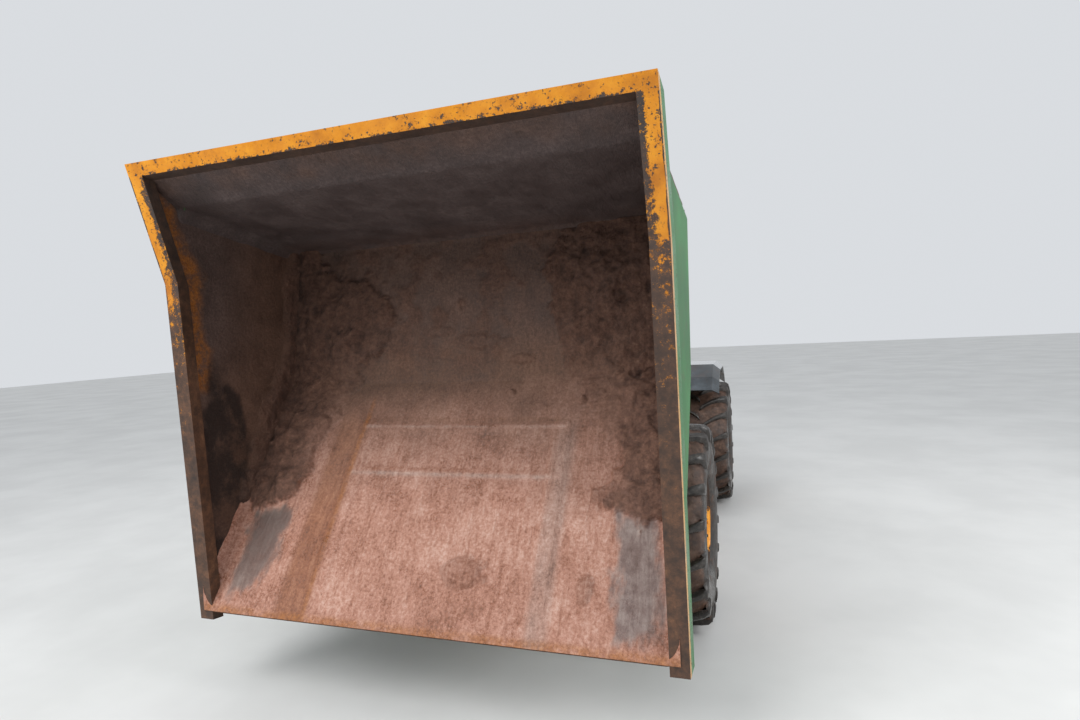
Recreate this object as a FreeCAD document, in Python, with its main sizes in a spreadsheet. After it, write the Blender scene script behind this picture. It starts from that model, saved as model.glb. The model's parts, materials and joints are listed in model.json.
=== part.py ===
# Articulated site dumper with its skip tipped forward over the front wheels.
# Millimetres. The machine faces -Y, +Z is up, X = 0 is its plane of symmetry.
# The skip's own sketches are drawn with the skip lowered and the tip hinge at the origin.
import FreeCAD, Part
import math
import os

import Sketcher

V = FreeCAD.Vector
doc = FreeCAD.newDocument("site_dumper")

SIZES = dict(
    # wheels and axles
    track=1950, wheel_base=2700, tyre_radius=585, tyre_half=250, lug_height=35, lug_root=40,
    lug_gap=8, lug_tip=100, lug_sweep=22, lug_width=58, shoulder_in=28, shoulder_drop=90, bead_in=47,
    bead_rise=174, rim_seat=286, rim_wall=15, rim_lip=303, rim_edge=215, lip_thick=5,
    disc_face=185, disc_thick=20, dish_slope=24, hub_radius=100, hub_front=205, hub_back=5,
    spindle_radius=60, spindle_reach=80, drum_radius=150, drum_gap=20, drum_length=215,
    casing_radius=150, casing_half=130, axle_tube=80, shaft_radius=30, saddle_half=65,
    running=0.05, fit=0.2,
    # centre pivot
    pivot_y=350, pin_radius=45, pin_head=63, ear_radius=95, ear_thick=40, ear_gap=6,
    ear_spread=260,
    # front frame
    rail_in=370, rail_out=470, frame_back=0, nose_radius=70, nose_tube=50, cross_front=-120,
    cross_back=-60, rest_gap=9, rest_length=60,
    # rear frame
    plate_in=375, plate_out=400, deck_thick=15, neck_half=110, neck_gap=120, neck_length=590,
    bay_gap=180, wall_thick=25, tail_reach=780, weight_half=700, weight_thick=150,
    weight_corner=100, tow_radius=16, jaw_half=60, arch_half=280,
    # engine and gearbox
    engine_half=260, engine_length=445, engine_gap=50, gearbox_half=190,
    # skip, drawn lowered from the tip hinge
    hinge_ahead=344, tip_angle=81, hinge_pin=30, hinge_eye=75, lip_y=-505, lip_z=986,
    toe_y=675, floor_z=366, heel_y=1525, fold_y=1515, fold_z=1296, back_y=1635, back_z=1550,
    kink_y=1121, kink_z=1301, skip_half=1200, skip_wall=10, corner_radius=70, rail_over=25,
    rail_width=80, bar_width=55, rail_depth=64, skirt_depth=150, lip_reach=40, beam_x=570, beam_half=75,
    beam_depth=76, cross_start=790, cross_end=1040, cross_depth=80, strip_half=45,
    strip_raise=6, lip_bar_start=20, lip_bar_end=130, lip_bar_depth=30,
    # tip cylinders
    tip_x=200, tip_pin_y=246, tip_pin_z=235, tip_pin=20, tip_base_behind=600, tip_base_pin=25,
    tip_barrel=55, tip_rod=30, tip_eye=50, tip_eye_half=24, tip_neck=80, tip_show=90,
    tip_stop=117, lug_thick=18,
    # steering cylinders, one each side of the neck
    ram_x=300, ram_behind=40, ram_ahead=110, ram_barrel=35, ram_rod=20, ram_pin=20,
    ram_eye=38, ram_gap=42, ram_show=305, ram_stop=350,
    # driving place
    deck_front=440, deck_nose=600, wing_length=180, deck_gap=35, tank_gap=35, tank_length=440,
    tank_out=860, tank_corner=50, step_width=190, console_ahead=320, console_half=220,
    dash_deep=280, dash_high=575, column_radius=22, column_length=290, column_lean=42,
    wheel_grip=190, grip_thick=26, seat_gap=120, seat_base_half=200, seat_base_deep=380,
    seat_half=250, seat_deep=480, cushion=120, rail_tube=17, handrail_ahead=150,
    handrail_length=270,
    # mudguards
    guard_gap=240, guard_flat=1105, guard_out=1165, guard_skin=8, guard_lip=55,
    # roll bar
    bar_behind=200, bar_in=463, bar_out=537, bar_half=40, bar_pin=15, bar_corner=110,
    cheek_gap=7, cheek_thick=12, beacon_radius=52, beacon_high=130, beacon_x=300,
    # bonnet, exhaust and lamps
    bonnet_behind=260, bonnet_half=430, bonnet_rise=5, bonnet_skin=6, bonnet_gap=10,
    lid_behind=11, lid_rise=24, lid_pin=8, lid_round=16, silencer_radius=60, silencer_in=70,
    silencer_length=420, pipe_radius=32, pipe_length=420, lamp_x=560, lamp_half=80,
    lamp_high=90,
)
# Heights above the wheels' centres.
HEIGHTS = dict(
    frame_low=105, frame_high=375, hinge_z=189, tip_base_z=165, cross_low=-125, ear_low=-125,
    ear_high=215, ram_z=65, bay_low=-135, neck_high=265, deck_under=445, tail_low=-65,
    weight_low=-25, weight_high=415, jaw_low=55, jaw_high=175, engine_low=115, engine_high=740,
    gearbox_high=235, tank_low=-85, step_low=-155, seat_under=795, seat_high=1335,
    handrail_high=1335, bar_hinge_z=665, bar_top=2575, bonnet_high=915,
)
SIDES = {"left": 1, "right": -1}
ALONG = {"x": (V(0, 1, 0), 90), "y": (V(1, 0, 0), -90), "z": (V(0, 0, 1), 0)}


class Size:
    """A number that keeps the formula it came from, so that features can be bound to it."""

    def __init__(self, value, text):
        self.value, self.text = float(value), text

    @staticmethod
    def of(other):
        return other if isinstance(other, Size) else Size(other, repr(other))

    def _with(self, other, sign, value, swap=False):
        a, b = (self, Size.of(other))
        if swap:
            a, b = b, a
        return Size(value(a.value, b.value), f"({a.text} {sign} {b.text})")

    def __add__(self, other):
        return self._with(other, "+", lambda a, b: a + b)

    def __radd__(self, other):
        return self._with(other, "+", lambda a, b: a + b, True)

    def __sub__(self, other):
        return self._with(other, "-", lambda a, b: a - b)

    def __rsub__(self, other):
        return self._with(other, "-", lambda a, b: a - b, True)

    def __mul__(self, other):
        return self._with(other, "*", lambda a, b: a * b)

    def __rmul__(self, other):
        return self._with(other, "*", lambda a, b: a * b, True)

    def __truediv__(self, other):
        return self._with(other, "/", lambda a, b: a / b)

    def __neg__(self):
        return Size(-self.value, f"(-1 * {self.text})")


def sine(angle):
    return Size(math.sin(math.radians(angle.value)), f"sin({angle.text})")


def cosine(angle):
    return Size(math.cos(math.radians(angle.value)), f"cos({angle.text})")


def root(size):
    return Size(math.sqrt(size.value), f"sqrt({size.text})")


class Sheet:
    """The spreadsheet of sizes; each alias reads as an attribute."""

    def __init__(self, sizes):
        self.cells = doc.addObject("Spreadsheet::Sheet", "Sizes")
        for row, (alias, value) in enumerate(sizes.items(), 1):
            self.cells.set(f"A{row}", str(value))
            self.cells.setAlias(f"A{row}", alias)
            setattr(self, alias, Size(value, f"Sizes.{alias}"))
        doc.recompute()


s = Sheet({**SIZES, **HEIGHTS})
for height in HEIGHTS:
    setattr(s, height, s.tyre_radius + getattr(s, height))
front_axle_y = s.pivot_y - s.wheel_base / 2
rear_axle_y = s.pivot_y + s.wheel_base / 2
hinge_y = front_axle_y - s.hinge_ahead
tip_base_y = front_axle_y + s.tip_base_behind
deck_top = s.deck_under + s.deck_thick
bay_front = s.pivot_y + s.neck_length
bay_back = rear_axle_y - s.arch_half - s.bay_gap
deck_half = s.track / 2 - s.tyre_half - s.deck_gap
tank_back = rear_axle_y - s.tyre_radius - s.tank_gap
tank_front = tank_back - s.tank_length
neck_front = s.pivot_y + s.neck_gap
tail = rear_axle_y + s.tail_reach
rear_end = tail + s.weight_thick
bar_y = rear_axle_y + s.bar_behind
rail_half = s.skip_half + s.rail_over
rail_inner = rail_half - s.rail_width
beyond = 2 * rail_half


def bind(thing, **values):
    """Set properties, or bind them where the value comes from the sheet."""
    for path, value in values.items():
        size = Size.of(value)
        setattr(thing, path, size.value)
        if "Sizes." in size.text:
            thing.setExpression(path, size.text)


def place(thing, x=0, y=0, z=0, axis=V(0, 0, 1), angle=0):
    spot = [Size.of(v) for v in (x, y, z)]
    turn = Size.of(angle)
    thing.Placement = FreeCAD.Placement(V(*[p.value for p in spot]), FreeCAD.Rotation(axis, turn.value))
    for letter, size in zip("xyz", spot):
        if "Sizes." in size.text:
            thing.setExpression(f"Placement.Base.{letter}", size.text)
    if "Sizes." in turn.text:
        thing.setExpression("Placement.Rotation.Angle", turn.text)
    return thing


def named(thing, label):
    thing.Label = label
    return thing


def mirrored(side, near, far):
    """A span of X on the left, or its image on the right."""
    return (near, far) if side > 0 else (-far, -near)


# Primitives and booleans.
def block(label, x, y, z):
    box = named(doc.addObject("Part::Box", "Box"), label)
    spans = [(Size.of(lo), Size.of(hi)) for lo, hi in (x, y, z)]
    lengths = [hi - lo for lo, hi in spans]
    bind(box, Length=lengths[0], Width=lengths[1], Height=lengths[2])
    return place(box, *[lo for lo, hi in spans])


def bore(label, radius, length, x=0, y=0, z=0, along="z"):
    """A round cylinder from a point, along +X, +Y or +Z, for what turns on a pin."""
    tube = named(doc.addObject("Part::Cylinder", "Cylinder"), label)
    bind(tube, Radius=radius, Height=length)
    return place(tube, x, y, z, *ALONG[along])


def bar(label, radius, length, x=0, y=0, z=0, along="z", sides=12):
    """A many-sided bar whose corners lie on the radius, from a point along +X, +Y or +Z."""
    prism = named(doc.addObject("Part::Prism", "Prism"), label)
    prism.Polygon = sides
    bind(prism, Circumradius=radius, Height=length)
    return place(prism, x, y, z, *ALONG[along])


def round_hole(radius, sides):
    """The corner radius of a many-sided hole whose flats clear a round bar."""
    return radius / math.cos(math.pi / sides)


def fused(label, *pieces):
    joined = named(doc.addObject("Part::MultiFuse", "Fuse"), label)
    joined.Shapes = list(pieces)
    joined.Refine = True
    return joined


def cut(label, base, *tools):
    for number, tool in enumerate(tools):
        name = label if number == len(tools) - 1 else f"{label}_cut_{number}"
        less = named(doc.addObject("Part::Cut", "Cut"), name)
        less.Base, less.Tool, less.Refine = base, tool, True
        base = less
    return base


def together(label, *pieces):
    """Solids that share a node without touching."""
    group = named(doc.addObject("Part::Compound", "Group"), label)
    group.Links = list(pieces)
    return group


# Sketched bodies.
def origin_of(body, role):
    return [f for f in body.Origin.OriginFeatures if f.Role == role][0]


def sketch(body, plane, points):
    drawing = body.newObject("Sketcher::SketchObject", "Sketch")
    drawing.AttachmentSupport = (origin_of(body, f"{plane}_Plane"), [""])
    drawing.MapMode = "FlatFace"
    spots = [(Size.of(a), Size.of(b)) for a, b in points]
    count = len(spots)
    for i in range(count):
        (a, b), (c, d) = spots[i], spots[(i + 1) % count]
        drawing.addGeometry(Part.LineSegment(V(a.value, b.value, 0), V(c.value, d.value, 0)), False)
    for i in range(count):
        drawing.addConstraint(Sketcher.Constraint("Coincident", i, 2, (i + 1) % count, 1))
    for i, spot in enumerate(spots):
        for kind, size in zip(("DistanceX", "DistanceY"), spot):
            number = drawing.addConstraint(Sketcher.Constraint(kind, -1, 1, i, 1, size.value))
            drawing.renameConstraint(number, f"{kind}{i}")
            if "Sizes." in size.text:
                drawing.setExpression(f"Constraints.{kind}{i}", size.text)
    return drawing


def plate(label, plane, points, span):
    """An outline on YZ, XY or XZ, padded over a span of the third axis."""
    body = named(doc.addObject("PartDesign::Body", "Body"), label)
    pad = body.newObject("PartDesign::Pad", "Pad")
    pad.Profile = sketch(body, plane, points)
    low, high = (Size.of(v) for v in span)
    bind(pad, Length=high - low)
    starts = {"YZ": dict(x=low), "XY": dict(z=low), "XZ": dict(y=high)}
    body.Tip = pad
    return place(body, **starts[plane])


def dressed(body, kind, names, **values):
    """A fillet, chamfer or thickness on named edges or faces of a body's last feature."""
    base = body.Tip
    feature = body.newObject(f"PartDesign::{kind}", kind)
    feature.Base = (base, names)
    bind(feature, **values)
    body.Tip = feature
    return feature


# Many-sided discs square to X, for tyres and rims.
LUGS = 18
SEAT_SIDES = 12


def disc(body, kind, radius, low, high, sides):
    """Adds or takes away a many-sided disc between two places on X."""
    low = Size.of(low)
    feature = body.newObject(f"PartDesign::{kind}Prism", kind)
    feature.AttachmentSupport = (origin_of(body, "YZ_Plane"), [""])
    feature.MapMode = "FlatFace"
    feature.Polygon = sides
    bind(feature, Circumradius=radius, Height=high - low)
    feature.AttachmentOffset = FreeCAD.Placement(V(0, 0, low.value), FreeCAD.Rotation())
    if "Sizes." in low.text:
        feature.setExpression("AttachmentOffset.Base.z", low.text)
    body.Tip = feature
    doc.recompute()


def bevel(body, places, radius, along, across):
    """Slopes the edges of many-sided rings at some places on X, by a run along X and one across it."""
    names = []
    for number, edge in enumerate(body.Tip.Shape.Edges, 1):
        ends = [(v.Point.x, math.hypot(v.Point.y, v.Point.z)) for v in edge.Vertexes]
        for spot in places:
            if all(abs(x - Size.of(spot).value) < 0.01 and abs(r - radius.value) < 0.01 for x, r in ends):
                names.append(f"Edge{number}")
    dressed(body, "Chamfer", names, Size=along, Size2=across).ChamferType = "Two distances"
    doc.recompute()


def tyre_shape():
    body = doc.addObject("PartDesign::Body", "Body")
    half, carcass = s.tyre_half, s.tyre_radius - s.lug_height
    disc(body, "Additive", carcass, -half, half, LUGS)
    bevel(body, (-half, half), carcass, s.shoulder_in, s.shoulder_drop)
    disc(body, "Subtractive", s.rim_seat, -half, half, SEAT_SIDES)
    bevel(body, (-half, half), s.rim_seat, s.bead_in, s.bead_rise)
    out = half + 2
    outline = [(s.lug_gap, -s.lug_tip), (out, s.lug_sweep), (out, s.lug_sweep + s.lug_width),
               (s.lug_gap, s.lug_width - s.lug_tip)]
    lug_top = root(s.tyre_radius * s.tyre_radius - s.lug_tip * s.lug_tip)
    lugs = []
    for side, angle in ((1, 0), (-1, 180 / LUGS)):
        drawing = sketch(body, "XY", [(side * x, y) for x, y in outline][::side])
        lean = math.radians(angle)
        drawing.AttachmentOffset = FreeCAD.Placement(V(), FreeCAD.Rotation(V(1, 0, 0), angle))
        drawing.setExpression("AttachmentOffset.Base.y", f"{-math.sin(lean):.9f} * {lug_top.text}")
        drawing.setExpression("AttachmentOffset.Base.z", f"{math.cos(lean):.9f} * {lug_top.text}")
        pad = body.newObject("PartDesign::Pad", "Lug")
        pad.Profile, pad.Reversed = drawing, True
        bind(pad, Length=s.lug_height + s.lug_root)
        lugs.append(pad)
    ring = body.newObject("PartDesign::PolarPattern", "Lugs")
    ring.Originals = lugs
    ring.Axis = (origin_of(body, "X_Axis"), [""])
    ring.Angle, ring.Occurrences = 360, LUGS
    body.Tip = ring
    return body


def rim_shape():
    """Dished disc in a flat barrel, with the hub's blind bore from the inner side."""
    body = doc.addObject("PartDesign::Body", "Body")
    edge, seat = s.rim_edge, s.rim_seat - s.fit
    inside = seat - s.rim_wall
    for kind, radius, low, high in (("Additive", seat, -edge, edge),
                                    ("Additive", s.rim_lip, edge - s.lip_thick, edge),
                                    ("Subtractive", inside, s.disc_face, edge),
                                    ("Subtractive", inside, -edge, s.disc_face - s.disc_thick)):
        disc(body, kind, radius, low, high, SEAT_SIDES)
    bevel(body, (edge,), inside, s.dish_slope, s.dish_slope / 2)
    hub = bar("hub", s.hub_radius, s.hub_back + s.hub_front, -s.hub_back, along="x", sides=10)
    depth = s.spindle_reach + s.hub_back
    hollow = bore("hub_bore", s.spindle_radius + s.running, depth + s.fit, -s.hub_back, along="x")
    return cut("rim", fused("disc_and_hub", body, hub), hollow)


def axle(label, y, *more):
    """Drums and spindles on a beam with the casing of its gears in the middle."""
    outer = s.track / 2 - s.drum_gap
    inner = outer - s.drum_length
    spindle = s.track / 2 + s.spindle_reach - s.hub_back
    z = s.tyre_radius
    pieces = [bar("beam", s.axle_tube, 2 * inner, -inner, y, z, "x", 8),
              bar("casing", s.casing_radius, 2 * s.casing_half, -s.casing_half, y, z, "x", 8),
              bar("spindles", s.spindle_radius, 2 * spindle, -spindle, y, z, "x", 8)]
    for side in SIDES.values():
        low = mirrored(side, inner, outer)[0]
        pieces.append(bar("drum", s.drum_radius, s.drum_length, low, y, z, "x", 10))
    return fused(label, *pieces, *more)


def saddles(y, inner, outer):
    """Pads that carry a frame on the axle's arms."""
    span = (y - s.saddle_half, y + s.saddle_half)
    tall = (s.tyre_radius - s.axle_tube / 2, s.frame_low)
    return [block("saddle", mirrored(side, inner, outer), span, tall) for side in SIDES.values()]


NODES = []


def node(thing, label=None):
    if label:
        thing.Label = label
    NODES.append(thing)
    return thing


def wheels():
    tyre, rim = tyre_shape(), rim_shape()
    for end, y in (("front", front_axle_y), ("rear", rear_axle_y)):
        for name, side in SIDES.items():
            x = side * s.track / 2
            node(place(together(f"tyre_{end}_{name}", tyre), x, y, s.tyre_radius))
            turned = 0 if side > 0 else 180
            node(place(together(f"rim_{end}_{name}", rim), x, y, s.tyre_radius, angle=turned))


def axles():
    z, start = s.tyre_radius, 0.6 * s.casing_radius
    shaft = bar("front_shaft", s.shaft_radius, s.cross_front - front_axle_y - start, 0,
                front_axle_y + start, z, "y", 6)
    node(axle("front_axle", front_axle_y, shaft, *saddles(front_axle_y, s.rail_in, s.rail_out)))
    gearbox = bay_back - s.fit
    shaft = bar("rear_shaft", s.shaft_radius, rear_axle_y - start - gearbox, 0, gearbox, z, "y", 6)
    flank = (s.plate_in - 10, s.plate_out + 10)
    node(axle("rear_axle", rear_axle_y, shaft, *saddles(rear_axle_y, *flank)))


# Front frame.
def front_frame():
    pieces = []
    low, high, nose = s.frame_low, s.frame_high, s.nose_radius
    rail = [(s.frame_back, low), (s.frame_back, high), (front_axle_y + 120, high),
            (hinge_y, s.hinge_z + nose), (hinge_y, s.hinge_z - nose), (hinge_y + 114, low)]
    rest_top = s.hinge_z + s.floor_z - s.beam_depth - s.rest_gap
    rest = (s.frame_back - s.rest_length, s.frame_back)
    for name, side in SIDES.items():
        span = mirrored(side, s.rail_in, s.rail_out)
        pieces += [plate(f"rail_{name}", "YZ", rail, span),
                   bar(f"nose_{name}", nose, s.rail_out - s.rail_in, span[0], hinge_y, s.hinge_z, "x", 8),
                   block(f"rest_{name}", span, rest, (high, rest_top))]
    beam = (tip_base_y - s.tip_eye - 10, tip_base_y + s.tip_eye + 10)
    pieces += [
        block("back_box", (-s.rail_in, s.rail_in), (s.cross_front, s.cross_back), (s.cross_low, high)),
        block("tip_base", (-s.rail_out, s.rail_out), beam, (low - 50, low)),
        bar("nose_tube", s.nose_tube, 2 * s.rail_in, -s.rail_in, hinge_y, s.hinge_z, "x", 8),
    ]
    ear = [(-s.ear_spread, s.cross_back), (s.ear_spread, s.cross_back), (s.ear_radius, s.pivot_y),
           (-s.ear_radius, s.pivot_y)]
    for level in (s.ear_low, s.ear_high):
        pieces += [plate("pivot_ear", "XY", ear, (level, level + s.ear_thick)),
                   bar("pivot_round", s.ear_radius, s.ear_thick, 0, s.pivot_y, level)]
    for side in SIDES.values():
        pieces += ram_ears(side * s.ram_x, s.cross_back + s.ram_ahead, s.cross_back)
        pieces += tip_base_ears(side * s.tip_x)
    tall = s.ear_high + 2 * s.ear_thick - s.ear_low
    holes = [bar("pivot_hole", round_hole(s.pin_radius + s.running, 12), tall, 0, s.pivot_y, s.ear_low),
             bar("hinge_hole", round_hole(s.hinge_pin + s.running, 10), 2 * beyond, -beyond, hinge_y,
                 s.hinge_z, "x", 10)]
    node(cut("front_chassis", fused("front_weldment", *pieces), *holes))
    foot, top = s.ear_low - s.ear_thick / 2, s.ear_high + s.ear_thick
    pin = bar("pin", s.pin_radius, top - foot, 0, s.pivot_y, foot)
    node(fused("pivot_pin", pin, bar("pin_cap", s.pin_head, 18, 0, s.pivot_y, top, sides=8)))
    stub = s.beam_x + s.beam_half + 5 - s.rail_in
    node(together("skip_hinge_pins", *[
        bar(f"stub_{name}", s.hinge_pin, stub, mirrored(side, s.rail_in, s.rail_in + stub)[0], hinge_y,
            s.hinge_z, "x", 10) for name, side in SIDES.items()]))


def ram_ears(x, pin_y, wall_y):
    """Two plates that reach from a wall to a steering cylinder's pin, and the pin's ends."""
    reach = s.ram_eye
    span = (wall_y, pin_y + reach) if pin_y.value > wall_y.value else (pin_y - reach, wall_y)
    width, thick, out = (x - reach, x + reach), s.lug_thick, 10
    low, high = s.ram_z - s.ram_gap, s.ram_z + s.ram_gap
    return [block("ram_ear_low", width, span, (low - thick, low)),
            block("ram_ear_high", width, span, (high, high + thick)),
            bar("ram_pin_low", s.ram_pin, thick + out, x, pin_y, low - thick - out, sides=6),
            bar("ram_pin_high", s.ram_pin, thick + out, x, pin_y, high, sides=6)]


def tip_base_ears(x):
    made = []
    y, z, reach, thick = tip_base_y, s.tip_base_z, s.tip_eye, s.lug_thick
    gap = s.tip_eye / 2 + 7
    foot = [(y - reach - 10, s.frame_low), (y + reach + 10, s.frame_low), (y + reach, z), (y - reach, z)]
    for inner in (x - gap - thick, x + gap):
        made += [plate("tip_ear", "YZ", foot, (inner, inner + thick)),
                 bar("tip_ear_round", reach, thick, inner, y, z, "x", 8)]
    half = gap + thick + 8
    return made + [bar("tip_base_pin", s.tip_base_pin, 2 * half, x - half, y, z, "x", 8)]


# Skip.
def tub(label, outline, half):
    """A padded outline whose long lower corners are rounded."""
    body = plate(label, "YZ", outline, (-half, half))
    doc.recompute()
    names = []
    for (a, b), (c, d) in zip(outline[:3], outline[1:4]):
        y, z = (Size.of(a) + c).value / 2, (Size.of(b) + d).value / 2
        for number, edge in enumerate(body.Tip.Shape.Edges, 1):
            middle = edge.CenterOfMass
            if abs(middle.y - y) < 1 and abs(middle.z - z) < 1 and abs(middle.x - half.value) > 1:
                names.append(f"Edge{number}")
    dressed(body, "Fillet", names, Radius=s.corner_radius)
    return body


def skip():
    half, depth, wall = s.skip_half, s.rail_depth, s.skip_wall
    outside = [(s.lip_y, s.lip_z), (s.toe_y, s.floor_z), (s.heel_y, s.floor_z), (s.fold_y, s.fold_z),
               (s.back_y, s.back_z), (s.kink_y, s.kink_z)]
    slope = (s.lip_z - s.floor_z) / (s.toe_y - s.lip_y)
    lift = wall * root(1 + slope * slope)
    run, rise = 300, 400
    inside = [(s.lip_y - run, s.lip_z + lift + run * slope),
              (s.toe_y + (lift - wall) / slope, s.floor_z + wall), (s.heel_y - wall, s.floor_z + wall),
              (s.fold_y - wall, s.fold_z), (s.back_y - wall, s.back_z), (s.back_y - wall, s.back_z + rise),
              (s.lip_y - run, s.back_z + rise)]
    body = cut("open_tub", tub("full_tub", outside, half), tub("load_space", inside, half - wall))
    rim = [(s.lip_y - s.lip_reach, s.lip_z - 8), (s.kink_y, s.kink_z), (s.back_y, s.back_z)]
    under = [(y, z - depth) for y, z in rim[::-1]]
    above = [(y, z + depth / 2) for y, z in rim] + under
    width = s.bar_width
    inner_z = s.back_z - width * (s.back_z - s.kink_z) / (s.back_y - s.kink_y)
    over = [(s.back_y - width, inner_z - depth), (s.back_y - width, s.back_z + rise),
            (s.back_y + rise, s.back_z + rise), (s.back_y + rise, s.back_z - depth),
            (s.back_y, s.back_z - depth)]
    caps = [plate("rim_space", "YZ", above, mirrored(side, rail_inner, beyond)) for side in SIDES.values()]
    caps.append(plate("bar_space", "YZ", over, (-rail_inner - 1, rail_inner + 1)))
    set_skip(node(fused("skip_shell", cut("skip_walls", body, *caps), *skip_strips())))
    band = rim + under
    skirt = [(y, z - depth + 1) for y, z in rim] + [(y, z - s.skirt_depth) for y, z in rim[::-1]]
    sides = []
    for side in SIDES.values():
        sides += [plate("rail_bar", "YZ", band, mirrored(side, rail_inner, rail_half)),
                  plate("rail_skirt", "YZ", skirt, mirrored(side, half, rail_half))]
    rear = [(s.back_y - width, inner_z), (s.back_y, s.back_z), (s.back_y, s.back_z - depth),
            (s.back_y - width, inner_z - depth)]
    sides.append(plate("rear_bar", "YZ", rear, (-rail_inner, rail_inner)))
    set_skip(node(fused("skip_rail", *sides)))
    set_skip(node(underframe()))


def set_skip(thing):
    return place(thing, 0, hinge_y, s.hinge_z, V(1, 0, 0), s.tip_angle)


def on_front_plate(run, out):
    """A point of the sloping front plate, by its run back from the lip and its depth outside."""
    dy, dz = s.toe_y - s.lip_y, s.floor_z - s.lip_z
    length = root(dy * dy + dz * dz)
    return (s.lip_y + (run * dy + out * dz) / length, s.lip_z + (run * dz - out * dy) / length)


def front_slab(label, start, end, near, far, span):
    """A slab that lies along the front plate, between two runs and two depths outside it."""
    corners = ((start, near), (end, near), (end, far), (start, far))
    return plate(label, "YZ", [on_front_plate(run, out) for run, out in corners], span)


def skip_strips():
    """Wear strips inside the front plate, over the beams and the cross member behind it."""
    top, sunk = -s.skip_wall - s.strip_raise, -s.skip_wall / 2
    inner = s.beam_x - s.strip_half
    made = [front_slab("wear_strip", s.lip_bar_end, s.cross_end + s.strip_half, top, sunk,
                       mirrored(side, inner, s.beam_x + s.strip_half)) for side in SIDES.values()]
    for run in (s.cross_start, s.cross_end):
        made.append(front_slab("cross_strip", run - s.strip_half / 2, run, top, sunk, (-inner, inner)))
    return made


def underframe():
    pieces = []
    depth, floor, run = s.beam_depth, s.floor_z, s.lip_bar_end
    beam = [(s.heel_y - 45, floor), (s.toe_y, floor), on_front_plate(run, 0), on_front_plate(run, depth),
            (-s.hinge_eye, 20), (-s.hinge_eye, 0), (s.hinge_eye, 0), (s.toe_y - 60, floor - depth),
            (s.heel_y - 45, floor - depth)]
    for side in SIDES.values():
        span = mirrored(side, s.beam_x - s.beam_half, s.beam_x + s.beam_half)
        pieces += [plate("beam", "YZ", beam, span),
                   bar("hinge_eye", s.hinge_eye, 2 * s.beam_half, span[0], 0, 0, "x")]
    inside = (-s.beam_x + s.beam_half, s.beam_x - s.beam_half)
    rest = (s.heel_y - 225, s.heel_y - 105)
    wide = s.skip_half - s.corner_radius - 10
    pieces += [front_slab("cross", s.cross_start, s.cross_end, 0, s.cross_depth, inside),
               block("rest_bar", inside, rest, (floor - depth, floor)),
               front_slab("lip_bar", s.lip_bar_start, run, 0, s.lip_bar_depth, (-wide, wide))]
    y, z, reach, thick = s.tip_pin_y, s.tip_pin_z, s.tip_eye - 5, s.lug_thick
    gap = s.tip_eye_half + 6
    ear = [on_front_plate(s.cross_start + 10, s.cross_depth - 10),
           on_front_plate(s.cross_end - 10, s.cross_depth - 10), (y + reach, z), (y - reach, z)]
    for side in SIDES.values():
        x = side * s.tip_x
        for inner, end in ((x - gap - thick, x - gap - thick - 12), (x + gap, x + gap + thick)):
            pieces += [plate("tip_lug", "YZ", ear, (inner, inner + thick)),
                       bar("tip_lug_round", reach, thick, inner, y, z, "x", 8),
                       bar("tip_pin_end", s.tip_pin, 12, end, y, z, "x", 6)]
    hole = bore("hinge_bore", s.hinge_pin + s.running, 2 * beyond, -beyond, 0, 0, "x")
    return cut("skip_underframe", fused("skip_beams", *pieces), hole)


# Cylinders.
def barrel_shape(label, radius, length, rod, eye_radius, eye_width, pin, neck):
    """Base eye at the origin across Z, barrel along +X with the rod's bore open at its far end."""
    start = neck + 30
    tube = bar("tube", radius, length - neck, neck, along="x", sides=8)
    stem = bar("stem", 0.45 * eye_width, neck + 20, 0, along="x", sides=6)
    eye = bar("eye", eye_radius, eye_width, z=-eye_width / 2, sides=8)
    hole = bar("rod_bore", round_hole(rod + s.running, 8), length, start, along="x", sides=8)
    pin_hole = bore("pin_bore", pin + s.running, 2 * eye_width, z=-eye_width)
    return cut(label, fused("barrel_blank", tube, stem, eye), hole, pin_hole)


def rod_shape(label, radius, length, eye_radius, eye_width):
    """Rod eye at the origin across Z, its stem back along -X."""
    stem = bar("rod", radius, length, -length, along="x", sides=10)
    return fused(label, stem, bar("rod_eye", eye_radius, eye_width, z=-eye_width / 2, sides=10))


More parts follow.
